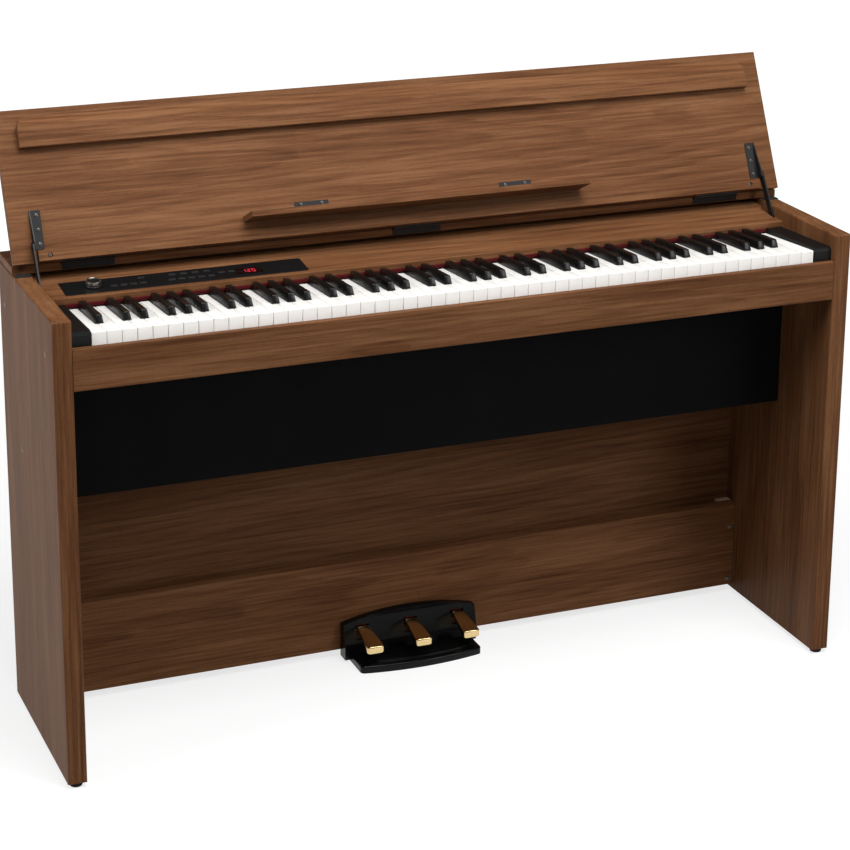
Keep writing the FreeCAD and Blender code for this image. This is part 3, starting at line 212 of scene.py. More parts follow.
# Keybed and corner blocks: bare particle board, cut and left raw, because nobody sees them. The keybed
# carries the key frame, and the blocks take the screws that hold the boards to the side panels.
def chipboard():
    """Pale chips of every tint, in flakes a few millimetres long, pressed flat."""
    finish = Finish("raw_chipboard", {"Specular IOR Level": 0.25})
    flake = finish.lay("ShaderNodeTexVoronoi", {}, {"Vector": finish.stretched(finish.place, (210.0, 320.0, 520.0)),
                                                    "Scale": 1.0}, "Color")
    tint = finish.lay("ShaderNodeSeparateColor", {}, {"Color": flake})
    dust = finish.noise(finish.place, (900.0, 900.0, 900.0))
    wood = finish.between(tint * 0.7 + dust * 0.3, (0.33, 0.23, 0.13), (0.62, 0.49, 0.33))
    return finish.show(wood, 0.72 + dust * 0.2, finish.relief(tint + dust, 0.00025))


raw_board = chipboard()
clad("keybed", raw_board)
clad("corner_blocks", raw_board)


# Under-key panel: the board in front of the loudspeakers, in matt black foil, set back under the keybed.
def matt_black(name, value, grit, roughness, sheen=0.28):
    """Dull black with a fine even grit, and slow patches where hands have polished it."""
    finish = Finish(name, {"Specular IOR Level": sheen})
    fine = finish.noise(finish.place, (grit, grit, grit), 2.0)
    worn = finish.noise(finish.place, (9.0, 9.0, 9.0), 3.0)
    black = finish.between(fine * 0.5 + worn * 0.5, (value * 0.7,) * 3, (value * 1.4,) * 3)
    return finish.show(black, roughness + worn * 0.16, finish.relief(fine, 0.00006))


clad("under_key_panel", matt_black("black_foil", 0.0018, 1500.0, 0.66, 0.08))


# Control board: the sloping walnut-print board behind the keys that carries the control plate.
# Its print is drawn 5 % lighter than the other boards' (shade 1.05): painted light for the light on its slope.
clad("control_board", walnut("walnut_control_board", level, (0.9, 0.05, -0.60), 0.022, 1.05))


# Cheek blocks: black blocks that close the keyboard at both ends, painted over fine wood.
clad("cheek_blocks", matt_black("cheek_paint", 0.005, 700.0, 0.42, 0.18))


# Felt strip: dark red wool felt, glued under the front edge of the control board, where it damps the keys.
def skin(name, shells, material, body, nodes=(), bend=35.0, loop=False):
    """Piece made of closed shells. A shell is an array of rings of points: neighbours in a ring, and the same
    two points of the next ring, make a quad. The end rings are filled, or joined to each other by loop."""
    points, faces, start = [], [], 0
    for shell in shells:
        rings, around = shell.shape[:2]
        index = start + np.arange(rings * around).reshape(rings, around)
        ahead = np.roll(index, -1, 0) if loop else index[1:]
        here = index if loop else index[:-1]
        quads = np.stack([here, np.roll(here, -1, 1), np.roll(ahead, -1, 1), ahead], -1)
        faces += quads.reshape(-1, 4).tolist()
        if not loop:
            faces += [index[0][::-1].tolist(), index[-1].tolist()]
        points.append(shell.reshape(-1, 3))
        start += rings * around
    mesh = bpy.data.meshes.new(name)
    mesh.from_pydata(np.concatenate(points), [], faces)
    work = bmesh.new()
    work.from_mesh(mesh)
    bmesh.ops.recalc_face_normals(work, faces=work.faces)
    work.to_mesh(mesh)
    work.free()
    mesh.polygons.foreach_set("use_smooth", np.ones(len(mesh.polygons), bool))
    mesh.set_sharp_from_angle(angle=math.radians(bend))
    mesh.materials.append(material)
    piece = bpy.data.objects.new(name, mesh)
    bpy.context.scene.collection.objects.link(piece)
    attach(piece, body)
    if nodes:
        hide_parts(*nodes)
    return piece


def felt_bar(low, high):
    """Bar with a squashed-oval section, fuzzed by small random steps. The end sections are drawn in."""
    count, around = 420, 12
    along = np.linspace(0.0, 1.0, count)[:, None]
    turn = np.linspace(0.0, 2 * np.pi, around, endpoint=False)[None, :]
    middle, half = (low + high) / 2, (high - low) / 2
    fuzz = 1.0 - 0.16 * np.random.default_rng(4).random((count, around))
    fuzz[[0, -1]] *= 0.7
    squared = lambda wave: np.sign(wave) * np.abs(wave) ** 0.55
    x = low[0] + (high[0] - low[0]) * along + 0 * turn
    y = middle[1] + half[1] * squared(np.cos(turn)) * fuzz
    z = middle[2] + half[2] * squared(np.sin(turn)) * fuzz
    return np.stack([x, y, z], -1)


def felt():
    """Red wool: fibres a fraction of a millimetre thick in every direction, over soft clouds of tint."""
    finish = Finish("red_felt", {"Specular IOR Level": 0.1, "Sheen Weight": 0.08, "Sheen Roughness": 0.5})
    fibre = finish.noise(finish.place, (900.0, 2600.0, 2600.0), 4.0, 0.7)
    cloud = finish.noise(finish.place, (60.0, 60.0, 60.0), 2.0)
    wool = finish.between(fibre * 0.7 + cloud * 0.3, (0.020, 0.0008, 0.0012), (0.105, 0.003, 0.005))
    return finish.show(wool, 0.85 + cloud * 0.15, finish.relief(fibre, 0.0004))


low, high = (np.array(corner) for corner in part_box("felt_strip"))
skin("felt_strip_wool", [felt_bar(low, high)], felt(), "cabinet", ["felt_strip"])


# Feet and lid pads: black rubber. Four turned glides stand under the side panels, and four flat pads on top
# of them take the weight of the rear board and the shut lid.
def solids(node):
    """Lowest and highest corner, and the points, of each separate solid of a CAD node. Points that share a
    triangle take the lowest number among the three, over and over, until nothing changes."""
    mesh = frame["nodes"][node].data
    points = np.empty(len(mesh.vertices) * 3, np.float32)
    mesh.vertices.foreach_get("co", points)
    corners = np.empty(len(mesh.loops), np.int32)
    mesh.loops.foreach_get("vertex_index", corners)
    points, merged = np.unique(np.round(points.reshape(-1, 3).astype(float), 6), axis=0, return_inverse=True)
    triangles = merged.ravel()[corners].reshape(-1, 3)
    label = np.arange(len(points))
    while True:
        lowered = label.copy()
        np.minimum.at(lowered, triangles.ravel(), np.repeat(label[triangles].min(1), 3))
        if (lowered == label).all():
            break
        label = lowered
    return [(points[label == one].min(0), points[label == one].max(0), points[label == one])
            for one in np.unique(label)]


def turned(profile, around=32, flutes=0, flute_depth=0.0, fluted=()):
    """Turned shape: each (radius, height) of the profile becomes a ring about Z. Rings in fluted have a
    radius that waves in and out round the ring."""
    turn = np.linspace(0.0, 2 * np.pi, around, endpoint=False)[None, :]
    radius, height = np.array(profile).T[:, :, None]
    wave = np.zeros((len(profile), 1))
    wave[list(fluted)] = flute_depth
    radius = radius - wave * (0.5 + 0.5 * np.cos(flutes * turn))
    return np.stack([radius * np.cos(turn), radius * np.sin(turn), height + 0 * turn], -1)


def set_on(shell, place, axis):
    """Turn a shape drawn about Z so that its Z points along axis, and carry it to place."""
    matrix = np.array(Vector(axis).to_track_quat("Z", "Y").to_matrix())
    return shell @ matrix.T + np.array(place)


def rubber(name):
    """Dull black rubber with a fine bloom and small moulding pits."""
    finish = Finish(name, {"Specular IOR Level": 0.25})
    bloom = finish.noise(finish.place, (70.0, 70.0, 70.0), 4.0)
    pit = finish.noise(finish.place, (1200.0, 1200.0, 1200.0), 1.0)
    black = finish.between(bloom, (0.010, 0.010, 0.010), (0.030, 0.029, 0.028))
    return finish.show(black, 0.62 + bloom * 0.25, finish.relief(pit, 0.00012))


black_rubber = rubber("black_rubber")
clad("lid_pads", black_rubber)
glides = []
for low, high, _ in solids("feet"):
    r, h = (high[0] - low[0]) / 2, high[2] - low[2]
    profile = [(r * 0.30, 0.0016), (r * 0.42, 0.0), (r * 0.80, 0.0), (r * 0.93, 0.0005), (r, 0.0018),
               (r * 0.96, h * 0.6), (r * 0.86, h * 0.75), (r * 0.86, h)]
    glides.append(turned(profile, 40) + np.array([(low[0] + high[0]) / 2, (low[1] + high[1]) / 2, low[2]]))
skin("glides", glides, black_rubber, "cabinet", ["feet"])


# Cover caps: small brown plastic discs pressed over the screw heads in the side panels' outer faces.
def cap_plastic():
    """Brown plastic a shade lighter than the wood, with a faint turned grain."""
    finish = Finish("brown_cap_plastic", {"Specular IOR Level": 0.45})
    mottle = finish.noise(finish.place, (500.0, 500.0, 500.0), 3.0)
    brown = finish.between(mottle, (0.145, 0.072, 0.034), (0.235, 0.125, 0.062))
    return finish.show(brown, 0.34 + mottle * 0.16, finish.relief(mottle, 0.00004))


caps = []
for low, high, _ in solids("cover_caps"):
    r, h = (high[1] - low[1]) / 2, high[0] - low[0]
    side = 1.0 if low[0] > 0 else -1.0
    profile = [(r, 0.0), (r, h * 0.35), (r * 0.93, h * 0.72), (r * 0.70, h * 0.93), (r * 0.30, h)]
    root = (low[0] if side > 0 else high[0], (low[1] + high[1]) / 2, (low[2] + high[2]) / 2)
    caps.append(set_on(turned(profile, 36), root, (side, 0.0, 0.0)))
skin("screw_caps", caps, cap_plastic(), "cabinet", ["cover_caps"])


# Screws of the cabinet: zinc-plated pan heads with a cross recess, through the boards into the blocks.
def cross_screw(points):
    """Pan-head screw laid over the points of a CAD screw. The long axis is that of the widest spread, and
    the head is at the end where points stand farther off. The head is rings about the axis, sunk near the
    middle by a four-armed cosine wave."""
    middle = points.mean(0)
    axis = np.linalg.eigh(np.cov((points - middle).T))[1][:, -1]
    along = (points - middle) @ axis
    off = np.linalg.norm(points - middle - along[:, None] * axis, axis=1)
    if off[along > 0].max() < off[along < 0].max():
        axis, along = -axis, -along
    head = off.max()
    shank = off[along < 0].max()
    seat = along[off > (head + shank) / 2].min() if head > shank * 1.2 else along.max()
    top, tip = along.max(), along.min()
    rise = top - seat
    rings = [(shank * 0.25, tip), (shank, tip + shank), (shank, seat), (head, seat), (head, seat + rise * 0.45),
             (head * 0.92, seat + rise * 0.8), (head * 0.75, top - rise * 0.04), (head * 0.55, top),
             (head * 0.36, top), (head * 0.12, top)]
    shell = turned(rings, 16)
    turn = np.linspace(0.0, 2 * np.pi, 16, endpoint=False)
    shell[-2, :, 2] -= 0.55 * max(rise, 0.0004) * np.cos(2 * turn) ** 2
    shell[-1, :, 2] -= 0.80 * max(rise, 0.0004)
    return set_on(shell, middle, axis)


def zinc(name, tint, roughness):
    """Plated steel: fine turning marks and dull patches in the plating."""
    finish = Finish(name, {"Metallic": 1.0})
    patch = finish.noise(finish.place, (300.0, 300.0, 300.0), 3.0)
    mark = finish.noise(finish.place, (2500.0, 2500.0, 2500.0), 1.0)
    plate = finish.between(patch, tuple(0.7 * part for part in tint), tint)
    return finish.show(plate, roughness + patch * 0.2, finish.relief(mark, 0.00003))


dark_zinc = zinc("dark_zinc", (0.16, 0.145, 0.13), 0.30)
skin("cabinet_screw_set", [cross_screw(points) for _, _, points in solids("cabinet_screws")], dark_zinc,
     "cabinet", ["cabinet_screws"])


# Key frame, pivot rod, contact board and its rubber strip: the black moulded chassis, screwed to the keybed,
# on which the keys turn, with the sensors that they press.
def board_green(name):
    """Green solder mask over copper tracks, which show as slightly raised lighter lines."""
    finish = Finish(name, {"Specular IOR Level": 0.5, "Coat Weight": 0.4, "Coat Roughness": 0.12})
    track = finish.lay("ShaderNodeTexBrick", {}, {"Vector": finish.stretched(finish.place, (90.0, 260.0, 90.0)),
                                                  "Scale": 1.0, "Mortar Size": 0.05}, "Fac")
    cloud = finish.noise(finish.place, (80.0, 80.0, 80.0), 2.0)
    mask = finish.between(track * 0.7 + cloud * 0.3, (0.012, 0.085, 0.035), (0.040, 0.210, 0.090))
    return finish.show(mask, 0.25 + cloud * 0.2, finish.relief(track, 0.00005))


frame_black = matt_black("chassis_black", 0.02, 900.0, 0.48)
bright_zinc = zinc("bright_zinc", (0.72, 0.72, 0.70), 0.20)
clad("key_frame", frame_black)
clad("key_pivot_rod", bright_zinc)
clad("key_sensor_board", board_green("contact_board_green"))
clad("rubber_contact_strip", black_rubber)


# White keys: injection-moulded plastic, gloss white, 52 of them. Each has a wide head, a waist that passes
# between its black keys, and a lever that turns on the pivot rod behind the control board.
low, high = (np.array(corner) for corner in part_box("white_key_bank"))
white_count, key_gap = 52, 0.001
keys_left = low[0] - key_gap / 2
white_pitch = (high[0] - low[0] + key_gap) / white_count
key_front, key_tail, lever_bottom, key_front_top = low[1], high[1], low[2], high[2]
key_slope, key_lip, cap_length = 0.072, 0.0243, 0.156
black_setback, black_width, black_clear, black_head_clear = 0.0496, 0.0128, 0.0005, 0.001
black_offset = {"C": -0.0018, "D": 0.0018, "F": -0.0022, "G": 0.0, "A": 0.0022}
letters = ["ABCDEFG"[index % 7] for index in range(white_count)]
first_c = 23
rod_low, rod_high = (np.array(corner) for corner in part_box("key_pivot_rod"))
lever_top, lever_width, bore_radius = lever_bottom + 0.012, 0.0095, (rod_high[2] - rod_low[2]) / 2 + 0.00005


def key_top(y):
    """Height of a white key's upper face, which falls evenly to the back."""
    return key_front_top - key_slope * (y - key_front)


def black_middle(index):
    return keys_left + (index + 1) * white_pitch + black_offset[letters[index]]


def has_black(index):
    return letters[index] in black_offset and 0 <= index < white_count - 1


def softened(outline, radius):
    """Plan outline with each corner changed for a short parabola that starts and ends radius away from it."""
    outline = np.array(outline, float)
    back, ahead = np.roll(outline, 1, 0) - outline, np.roll(outline, -1, 0) - outline
    back, ahead = (side / np.linalg.norm(side, axis=1)[:, None] for side in (back, ahead))
    return np.stack([outline + radius * back, outline + radius * (back + ahead) / 4, outline + radius * ahead],
                    1).reshape(-1, 2)


def drawn_in(outline, amount):
    """Plan outline moved inwards by amount: each corner slides along the line that halves it."""
    side = np.roll(outline, -1, 0) - outline
    side /= np.linalg.norm(side, axis=1)[:, None]
    after = np.stack([-side[:, 1], side[:, 0]], 1)
    before = np.roll(after, 1, 0)
    return outline + amount * (before + after) / (1.0 + (before * after).sum(1))[:, None]


def moulded(outline, edge, height):
    """Shell on a plan outline. Each (inset, drop) of the edge is a ring: the outline drawn in by inset, and
    lying drop under the surface that height(x, y) gives."""
    rings = []
    for inset, drop in edge:
        plan = drawn_in(outline, inset)
        rings.append(np.column_stack([plan, height(plan[:, 0], plan[:, 1]) - drop]))
    return np.array(rings)


def rounded_edge(wall, radius, steps=3):
    """(inset, drop) pairs of a wall that ends in a quarter circle."""
    turn = np.linspace(0.0, np.pi / 2, steps + 1)
    return [(0.0, wall)] + list(zip(radius * (1 - np.cos(turn)), radius * (1 - np.sin(turn))))


def key_lever(x):
    """Lever with its bore: rays from the bore's middle meet the lever's outline, and four rings, bore and
    outline on either side, close on each other."""
    y0, y1 = key_front + cap_length, key_tail
    bore = np.array([(rod_low[1] + rod_high[1]) / 2, (rod_low[2] + rod_high[2]) / 2])
    corners = np.array([[y1, lever_bottom], [y1, lever_top], [y0, lever_top], [y0, lever_bottom]]) - bore
    turns = np.arctan2(corners[:, 1], corners[:, 0])
    turns = np.sort(np.concatenate([turns, np.linspace(-np.pi, np.pi, 12, endpoint=False) + 0.1]))
    ray = np.stack([np.cos(turns), np.sin(turns)], 1)
    reach = np.where(ray > 0, corners.max(0), corners.min(0)) / np.where(np.abs(ray) < 1e-9, 1e-9, ray)
    outer = bore + ray * reach.min(1)[:, None]
    inner = bore + ray * bore_radius
    sides = [(x - lever_width / 2, inner), (x - lever_width / 2, outer), (x + lever_width / 2, outer),
             (x + lever_width / 2, inner)]
    return np.array([np.column_stack([np.full(len(plan), place), plan]) for place, plan in sides])


def white_key(index):
    """Shell of a white key's cap: its plan outline with a rounded edge round the top."""
    x0 = keys_left + index * white_pitch + key_gap / 2
    x1 = x0 + white_pitch - key_gap
    w0 = black_middle(index - 1) + black_width / 2 + black_clear if has_black(index - 1) else x0
    w1 = black_middle(index) - black_width / 2 - black_clear if has_black(index) else x1
    y1, y2 = key_front + black_setback - black_head_clear, key_front + cap_length
    outline = [(x0, key_front), (x1, key_front)]
    outline += [(x1, y1), (w1, y1)] if w1 < x1 else []
    outline += [(w1, y2), (w0, y2)]
    outline += [(w0, y1), (x0, y1)] if w0 > x0 else []
    rings = moulded(softened(outline, 0.0009), rounded_edge(key_lip, 0.0009), lambda x, y: key_top(y))
    rings[0, :, 2] = key_front_top - key_lip
    return rings, (w0 + w1) / 2


def gloss_plastic(name, dark, light, roughness, smear, skin_weight=0.3):
    """Polished plastic with a clear skin, slow clouds of tint and faint smears of handling."""
    finish = Finish(name, {"Specular IOR Level": 0.3, "Coat Roughness": 0.06})
    cloud = finish.noise(finish.place, (25.0, 60.0, 60.0), 3.0)
    touch = finish.noise(finish.place, (180.0, 50.0, 180.0), 4.0)
    tint = finish.between(cloud, dark, light)
    return finish.show(tint, roughness + touch * smear, finish.relief(cloud, 0.00004), {"Coat Weight": cloud * skin_weight})


key_white = gloss_plastic("key_white", (0.90, 0.88, 0.84), (0.94, 0.925, 0.895), 0.32, 0.08, 0.0)
whites = {}
for index in range(white_count):
    own = first_c <= index < first_c + 7
    node = "key_" + letters[index].lower() if own else "white_key_bank"
    whites.setdefault(node, []).append(white_key(index))
for node, keys in whites.items():
    skin(node + "_cap", [cap for cap, _ in keys], key_white, node, [node])
    skin(node + "_lever", [key_lever(x) for _, x in keys], key_white, node, loop=True)


# Black keys: satin black plastic, tapered to the top, with a sloping rounded nose. They turn on the same rod.
def black_key(index):
    """Shell of a black key's cap. Rings rise from the body to the top: the sides close in evenly, the nose
    leans back faster as it rises, and the last rings are a quarter circle."""
    x, y0, y1 = black_middle(index), key_front + black_setback, key_front + cap_length - 0.002
    rise, taper, lean, edge = 0.013, 0.0016, 0.0045, 0.0009
    turn = np.linspace(0.0, np.pi / 2, 5)
    lifts = np.concatenate([[-0.016, 0.0], np.linspace(0.003, rise - edge, 4), rise - edge + edge * np.sin(turn[1:])])
    insets = np.concatenate([np.zeros(6), edge * (1 - np.cos(turn[1:]))])
    rings = []
    for lift, inset in zip(lifts, insets):
        share = max(lift, 0.0) / rise
        half = black_width / 2 - taper * share
        nose = y0 + lean * share ** 1.2
        plan = softened([(x - half, nose), (x + half, nose), (x + half, y1), (x - half, y1)], 0.0012)
        plan = drawn_in(plan, inset)
        rings.append(np.column_stack([plan, key_top(plan[:, 1]) + lift]))
    rings = np.array(rings)
    rings[0, :, 2] = lever_bottom + 0.002
    return rings


key_black = gloss_plastic("key_black", (0.003, 0.003, 0.003), (0.006, 0.0058, 0.0055), 0.22, 0.14, 0.0)
blacks = {}
for index in range(white_count):
    if has_black(index):
        own = first_c <= index < first_c + 7
        node = "key_" + letters[index].lower() + "_sharp" if own else "black_key_bank"
        blacks.setdefault(node, []).append(index)
for node, indices in blacks.items():
    skin(node + "_cap", [black_key(index) for index in indices], key_black, node, [node])
    skin(node + "_lever", [key_lever(black_middle(index)) + np.array([0.0, 0.0, 0.0]) for index in indices],
         key_black, node, loop=True)


# Main circuit board and loudspeakers: on the keybed behind the keys, and under it behind the black panel.
clad("main_circuit_board", board_green("main_board_green"))
clad("speakers", matt_black("speaker_paper", 0.03, 400.0, 0.7))


# Power inlet and headphone sockets: black moulded housings, one in the back panel and one under the keybed.
socket_black = matt_black("socket_black", 0.018, 1100.0, 0.36)
clad("power_inlet", socket_black)
clad("headphone_jacks", socket_black)


# Control plate: thin black plate let into the control board, with a dark red display window, a turned knob
# and small push buttons.
clad("control_plate", matt_black("plate_black", 0.004, 1300.0, 0.42, 0.2))
control_slope = math.atan(0.12)
window = gloss_plastic("display_window", (0.004, 0.001, 0.001), (0.009, 0.002, 0.002), 0.10, 0.06)
clad("display_window", window)


def on_slope(shell, place):
    """Carry a shape drawn flat at the origin to a place on the sloping control board."""
    matrix = np.array(Matrix.Rotation(control_slope, 3, "X"))
    return shell @ matrix.T + np.array(place)


def lit_digit(shape, width, height, thick):
    """Outlines of the lit bars of a seven-bar digit: each bar is a six-cornered strip between two places."""
    w, h = width / 2, height / 2
    ends = {"a": ((-w, h), (w, h)), "b": ((w, h), (w, 0)), "c": ((w, 0), (w, -h)), "d": ((w, -h), (-w, -h)),
            "e": ((-w, -h), (-w, 0)), "f": ((-w, 0), (-w, h)), "g": ((-w, 0), (w, 0))}
    bars = []
    for name in shape:
        start, end = np.array(ends[name][0]), np.array(ends[name][1])
        step = (end - start) / np.linalg.norm(end - start)
        side = np.array([-step[1], step[0]]) * thick / 2
        start, end = start + step * thick * 0.15, end - step * thick * 0.15
        nip = step * thick / 2
        bars.append(np.array([start, start + nip - side, end - nip - side, end, end - nip + side, start + nip + side]))
    return bars


low, high = (np.array(corner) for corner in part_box("display_window"))
middle = (low + high) / 2
middle[2] = (low[2] + high[2]) / 2 + (high[2] - low[2] - (high[1] - low[1]) * math.tan(control_slope)) / 2
bars = []
for place, lit in zip((-0.0078, 0.0, 0.0078), ("bc", "abged", "abcdef")):
    for plan in lit_digit(lit, 0.0042, 0.0108, 0.0010):
        plan = plan + np.array([place, 0.0])
        flat = np.array([np.column_stack([plan, np.full(len(plan), z)]) for z in (0.0, 0.00012)])
        bars.append(on_slope(flat, middle + np.array([0.0, 0.0, 0.00004])))
glow = Finish("display_glow", {"Emission Strength": 0.9, "Base Color": (0.3, 0.01, 0.02, 1.0)})
flicker = glow.noise(glow.place, (900.0, 900.0, 900.0), 2.0)
glow.join(glow.surface, {"Emission Color": glow.between(flicker, (0.75, 0.02, 0.05), (1.0, 0.05, 0.09)),
                         "Roughness": 0.3 + flicker * 0.2})
skin("display_digits", bars, glow.material, "cabinet")

clad("panel_buttons", matt_black("button_black", 0.016, 900.0, 0.42))


# Volume knob: turned aluminium ring with a dark dished top, on a flared black skirt. Its shaft passes
# through the plate.
normal = np.array([0.0, -math.sin(control_slope), math.cos(control_slope)])
points = solids("volume_knob")[0][2]
lift = points @ normal
shaft_end = points[lift < lift.min() + 1e-5].mean(0)
base = lift.max() - lift.min() - 0.0095
skirt = [(0.003, 0.0), (0.003, base), (0.0134, base), (0.0140, base + 0.0006), (0.0139, base + 0.0022),
         (0.0132, base + 0.0030), (0.0112, base + 0.0034)]
ring = [(0.0112, base + 0.0034), (0.0123, base + 0.0037), (0.0126, base + 0.0045), (0.0121, base + 0.0084),
        (0.0117, base + 0.0092), (0.0110, base + 0.0095), (0.0098, base + 0.0095), (0.0093, base + 0.0091),
        (0.0093, base + 0.0034)]
dish = [(0.0092, base + 0.0036), (0.0092, base + 0.0090), (0.0080, base + 0.0083), (0.0055, base + 0.0077),
        (0.0025, base + 0.0075), (0.0006, base + 0.0075)]
skin("knob_skirt", [on_slope(turned(skirt, 72), shaft_end)], matt_black("skirt_black", 0.008, 1200.0, 0.34),
     "volume_knob", ["volume_knob"])
skin("knob_ring", [on_slope(turned(ring, 144, 48, 0.00018, (2, 3)), shaft_end)],
     zinc("knob_aluminium", (0.46, 0.44, 0.40), 0.24), "volume_knob", loop=True)
skin("knob_dish", [on_slope(turned(dish, 72), shaft_end)], zinc("knob_dark_anodised", (0.12, 0.112, 0.10), 0.28),
     "volume_knob")


# Lid: walnut-print panel with a bevelled bar along its front edge and a ledge rail near the hinges, both
# screwed and glued on its inner face.
clad("lid_panel", walnut("walnut_lid", level, (0.35, -0.05, -0.93), 0.035))
# The front bar's print is drawn 4 % lighter than the panel's (shade 1.04): painted light on the bar.
clad("lid_front_bar", walnut("walnut_lid_bar", level, (0.8, 0.14, -0.90), 0.020, 1.04))
clad("lid_ledge_rail", walnut("walnut_lid_rail", level, (0.1, 0.02, -0.70), 0.020))


# Lid hinges, stays and their screws: pressed steel in satin black powder coat, held by dark zinc screws.
black_steel = matt_black("black_powder_coat", 0.007, 1600.0, 0.36)
for node in ("lid_hinge_fixed_leaves", "lid_hinge_moving_leaves", "stay_brackets", "stay_arms",
             "rest_hinge_fixed_leaves", "rest_hinge_moving_leaves"):
    clad(node, black_steel)
clad("stay_guides", frame_black)
skin("lid_screw_set", [cross_screw(points) for _, _, points in solids("lid_screws")], dark_zinc,
     "lid", ["lid_screws"])


# Music rest: narrow walnut-print shelf with cut-back ends that folds out of the lid on two small hinges.
# Its print is drawn 5 % lighter than the other boards' (shade 1.05): a painted lightness.
clad("music_rest", walnut("walnut_rest", level, (0.55, 0.03, -0.86), 0.020, 1.05))


# Pedals: cast brass, polished, wide and deep at the tip, with a lug at the root that turns on the shaft.
def cast_pedal(low, high):
    """Rings of a squared oval carried from tip to lug. Half width, top and underside are each drawn through
    named places along the pedal, and the top is crowned by a parabola across it."""
    middle, tip = (low[0] + high[0]) / 2, low[1]
    reach = high[1] - tip
    places = np.array([0.0, 0.4, 1.4, 3.2, 6.0, 10.0, 18.0, 28.0, 42.0, 62.0, 68.0, 76.0, reach * 1000]) / 1000
    halves = np.array([8.5, 11.2, 13.1, 14.3, 15.0, 15.0, 14.6, 13.8, 12.7, 11.2, 11.0, 11.0, 11.0]) / 1000
    tip_top = high[2] - 0.0095
    tops = tip_top + np.array([-2.6, -1.5, -0.6, -0.2, 0.0, 0.6, 1.9, 3.4, 5.7, 8.7, 9.2, 9.3, 9.3]) / 1000
    unders = tip_top - np.array([11.0, 13.0, 14.2, 14.8, 15.0, 13.6, 9.0, 6.4, 3.8, 0.6, 2.4, 7.0, 7.0]) / 1000
    along = np.concatenate([np.linspace(0.0, 0.006, 10), np.linspace(0.008, reach, 34)])
    half, top, under = (np.interp(along, places, values)[:, None] for values in (halves, tops, unders))
    turn = np.linspace(0.0, 2 * np.pi, 48, endpoint=False)[None, :]
    squared = lambda wave, sharp: np.sign(wave) * np.abs(wave) ** sharp
    across = squared(np.cos(turn), 0.30)
    rise = squared(np.sin(turn), 0.30)
    x = middle + half * across
    z = (top + under) / 2 + (top - under) / 2 * rise - 0.0007 * across ** 2 * (rise > 0)
    return np.stack([x, tip + along[:, None] + 0 * turn, z], -1)


brass = zinc("pedal_brass", (0.88, 0.66, 0.33), 0.07)
for node in ("pedal_left", "pedal_middle", "pedal_right"):
    low, high = (np.array(corner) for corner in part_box(node))
    skin(node + "_casting", [cast_pedal(low, high)], brass, node, [node], bend=60.0)


# Pedal hood, base and shaft: gloss black mouldings screwed to the lower board, with a red felt over each
# pedal's root.
def eased_copy(node, width, material):
    """Copy of a CAD node with its triangles merged into flat faces and its edges rounded."""
    work = bmesh.new()
    work.from_mesh(frame["nodes"][node].data)
    bmesh.ops.remove_doubles(work, verts=work.verts, dist=1e-6)
    bmesh.ops.dissolve_limit(work, angle_limit=math.radians(1.0), verts=work.verts, edges=work.edges)
    mesh = bpy.data.meshes.new(node + "_moulding")
    work.to_mesh(mesh)
    work.free()
    mesh.materials.clear()
    mesh.materials.append(material)
    mesh.polygons.foreach_set("use_smooth", np.ones(len(mesh.polygons), bool))
    mesh.set_sharp_from_angle(angle=math.radians(40.0))
    piece = bpy.data.objects.new(node + "_moulding", mesh)
    bpy.context.scene.collection.objects.link(piece)
    rounding = piece.modifiers.new("rounded_edges", "BEVEL")
    rounding.width, rounding.segments, rounding.limit_method = width, 3, "ANGLE"
    rounding.angle_limit = math.radians(40.0)
    rounding.use_clamp_overlap = True
    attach(piece, frame["nodes"][node]["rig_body"])
    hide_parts(node)
    return piece


gloss_black = gloss_plastic("hood_gloss_black", (0.0025, 0.0025, 0.0025), (0.005, 0.005, 0.005), 0.10, 0.14, 0.0)
gloss_black.node_tree.nodes["Principled BSDF"].inputs["Specular IOR Level"].default_value = 0.16
eased_copy("pedal_hood", 0.0006, gloss_black)
eased_copy("pedal_base", 0.0006, gloss_black)
clad("pedal_shaft", bright_zinc)
pads = []
for node in ("pedal_left", "pedal_middle", "pedal_right"):
    low, high = (np.array(corner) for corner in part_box(node))
    middle = (low[0] + high[0]) / 2
    pads.append(felt_bar(np.array([middle - 0.0118, high[1] - 0.0150, high[2] + 0.0002]),
                         np.array([middle + 0.0118, high[1] - 0.0085, high[2] + 0.0014])))
skin("pedal_felts", pads, felt(), "cabinet")


# Studio: plain pale floor under a white surround, soft lamps high in front and at both sides, and the
# camera. Whatever looks straight at the floor and the surround sees white, and little light comes off them.
bpy.ops.mesh.primitive_plane_add(size=30.0, location=(0.0, 0.0, 0.0))
floor = bpy.context.object
floor.name = "floor"
ground = Finish("floor_paper", {"Emission Color": (1.0, 1.0, 1.0, 1.0)})
fleck = ground.noise(ground.place, (40.0, 40.0, 40.0))
seen = (ground.lay("ShaderNodeLightPath", {}, {}, "Is Camera Ray")
        + ground.lay("ShaderNodeLightPath", {}, {}, "Is Glossy Ray")
        + ground.lay("ShaderNodeLightPath", {}, {}, "Is Transmission Ray"))
away = ground.lay("ShaderNodeVectorMath", {"operation": "LENGTH"}, {0: ground.place}, "Value").above(1.0, 3.2)
ground.show(ground.between(fleck, (0.30, 0.30, 0.30), (0.32, 0.32, 0.32)), 0.9, ground.relief(fleck, 0.0001),
            {"Emission Strength": seen * (0.74 + away * 0.26), "Specular IOR Level": 0.0})
floor.data.materials.append(ground.material)

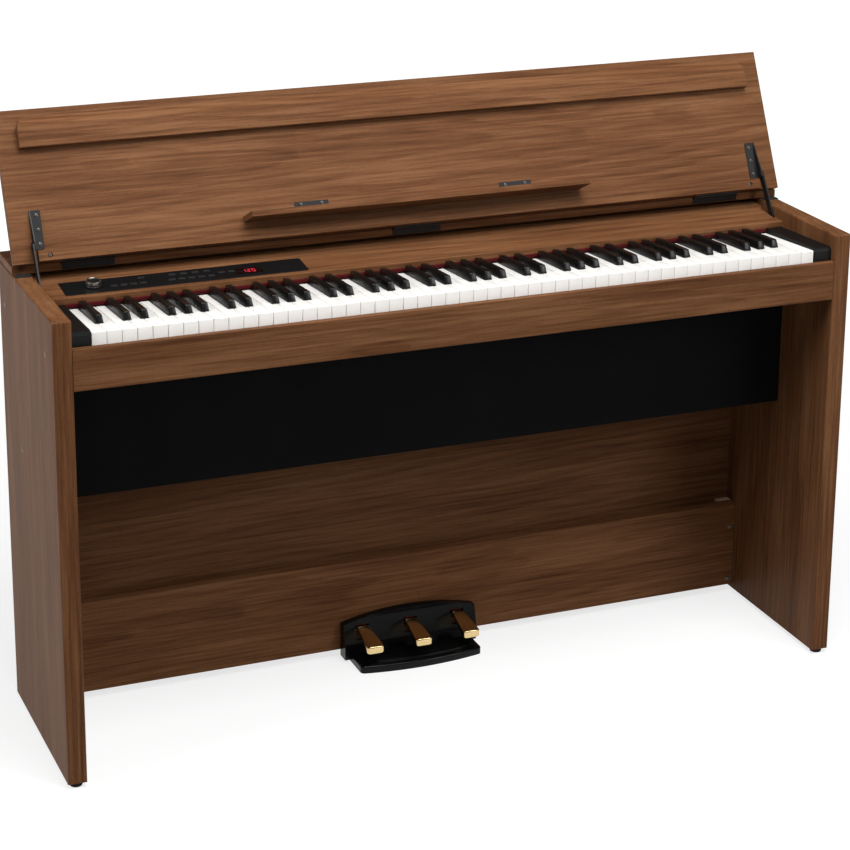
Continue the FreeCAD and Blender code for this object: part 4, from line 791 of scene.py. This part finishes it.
world = bpy.data.worlds.new("studio")
bpy.context.scene.world = world
world.use_nodes = True
sky = world.node_tree
path = sky.nodes.new("ShaderNodeLightPath")
seen = sky.nodes.new("ShaderNodeMath")
seen.operation = "MAXIMUM"
sky.links.new(path.outputs["Is Camera Ray"], seen.inputs[0])
sky.links.new(path.outputs["Is Transmission Ray"], seen.inputs[1])
strength = sky.nodes.new("ShaderNodeMath")
strength.operation = "MULTIPLY_ADD"
sky.links.new(seen.outputs[0], strength.inputs[0])
strength.inputs[1].default_value = 0.93
strength.inputs[2].default_value = 0.07
sky.links.new(strength.outputs[0], sky.nodes["Background"].inputs["Strength"])
sky.nodes["Background"].inputs["Color"].default_value = (1.0, 1.0, 1.0, 1.0)


def lamp(name, place, aim, size, power):
    light = bpy.data.lights.new(name, "AREA")
    light.shape, light.size, light.size_y, light.energy = "RECTANGLE", size[0], size[1], power
    holder = bpy.data.objects.new(name, light)
    holder.location = place
    holder.rotation_euler = (Vector(aim) - Vector(place)).to_track_quat("-Z", "Y").to_euler()
    bpy.context.scene.collection.objects.link(holder)


lamp("key_lamp", (0.1, -1.7, 3.7), (0.0, 0.0, 0.7), (2.0, 1.4), 98.0)
lamp("left_lamp", (-3.0, -0.4, 2.3), (-0.5, 0.0, 0.6), (1.0, 1.4), 50.0)
lamp("right_lamp", (2.0, -3.0, 2.3), (0.3, 0.0, 0.6), (1.2, 1.4), 38.0)
lamp("top_lamp", (0.2, -0.6, 3.4), (0.0, 0.0, 0.7), (2.8, 1.2), 30.0)

camera = bpy.data.cameras.new("camera")
camera.sensor_width, camera.lens = 36.0, 103.54
camera.shift_y = -0.2
camera.clip_end = 60.0
azimuth, elevation, roll = (math.radians(angle) for angle in (-22.218, 16.305, 0.423))
back = Vector((math.sin(azimuth) * math.cos(elevation), -math.cos(azimuth) * math.cos(elevation), math.sin(elevation)))
right = Vector((0.0, 0.0, 1.0)).cross(back).normalized()
up = back.cross(right)
turned_right = right * math.cos(roll) + up * math.sin(roll)
turned_up = up * math.cos(roll) - right * math.sin(roll)
viewer = bpy.data.objects.new("camera", camera)
viewer.matrix_world = Matrix.Translation((-1.4488, -3.5106, 1.8515)) @ Matrix(
    (turned_right, turned_up, back)).transposed().to_4x4()
bpy.context.scene.collection.objects.link(viewer)
bpy.context.scene.camera = viewer
bpy.context.scene.view_settings.view_transform = "Standard"
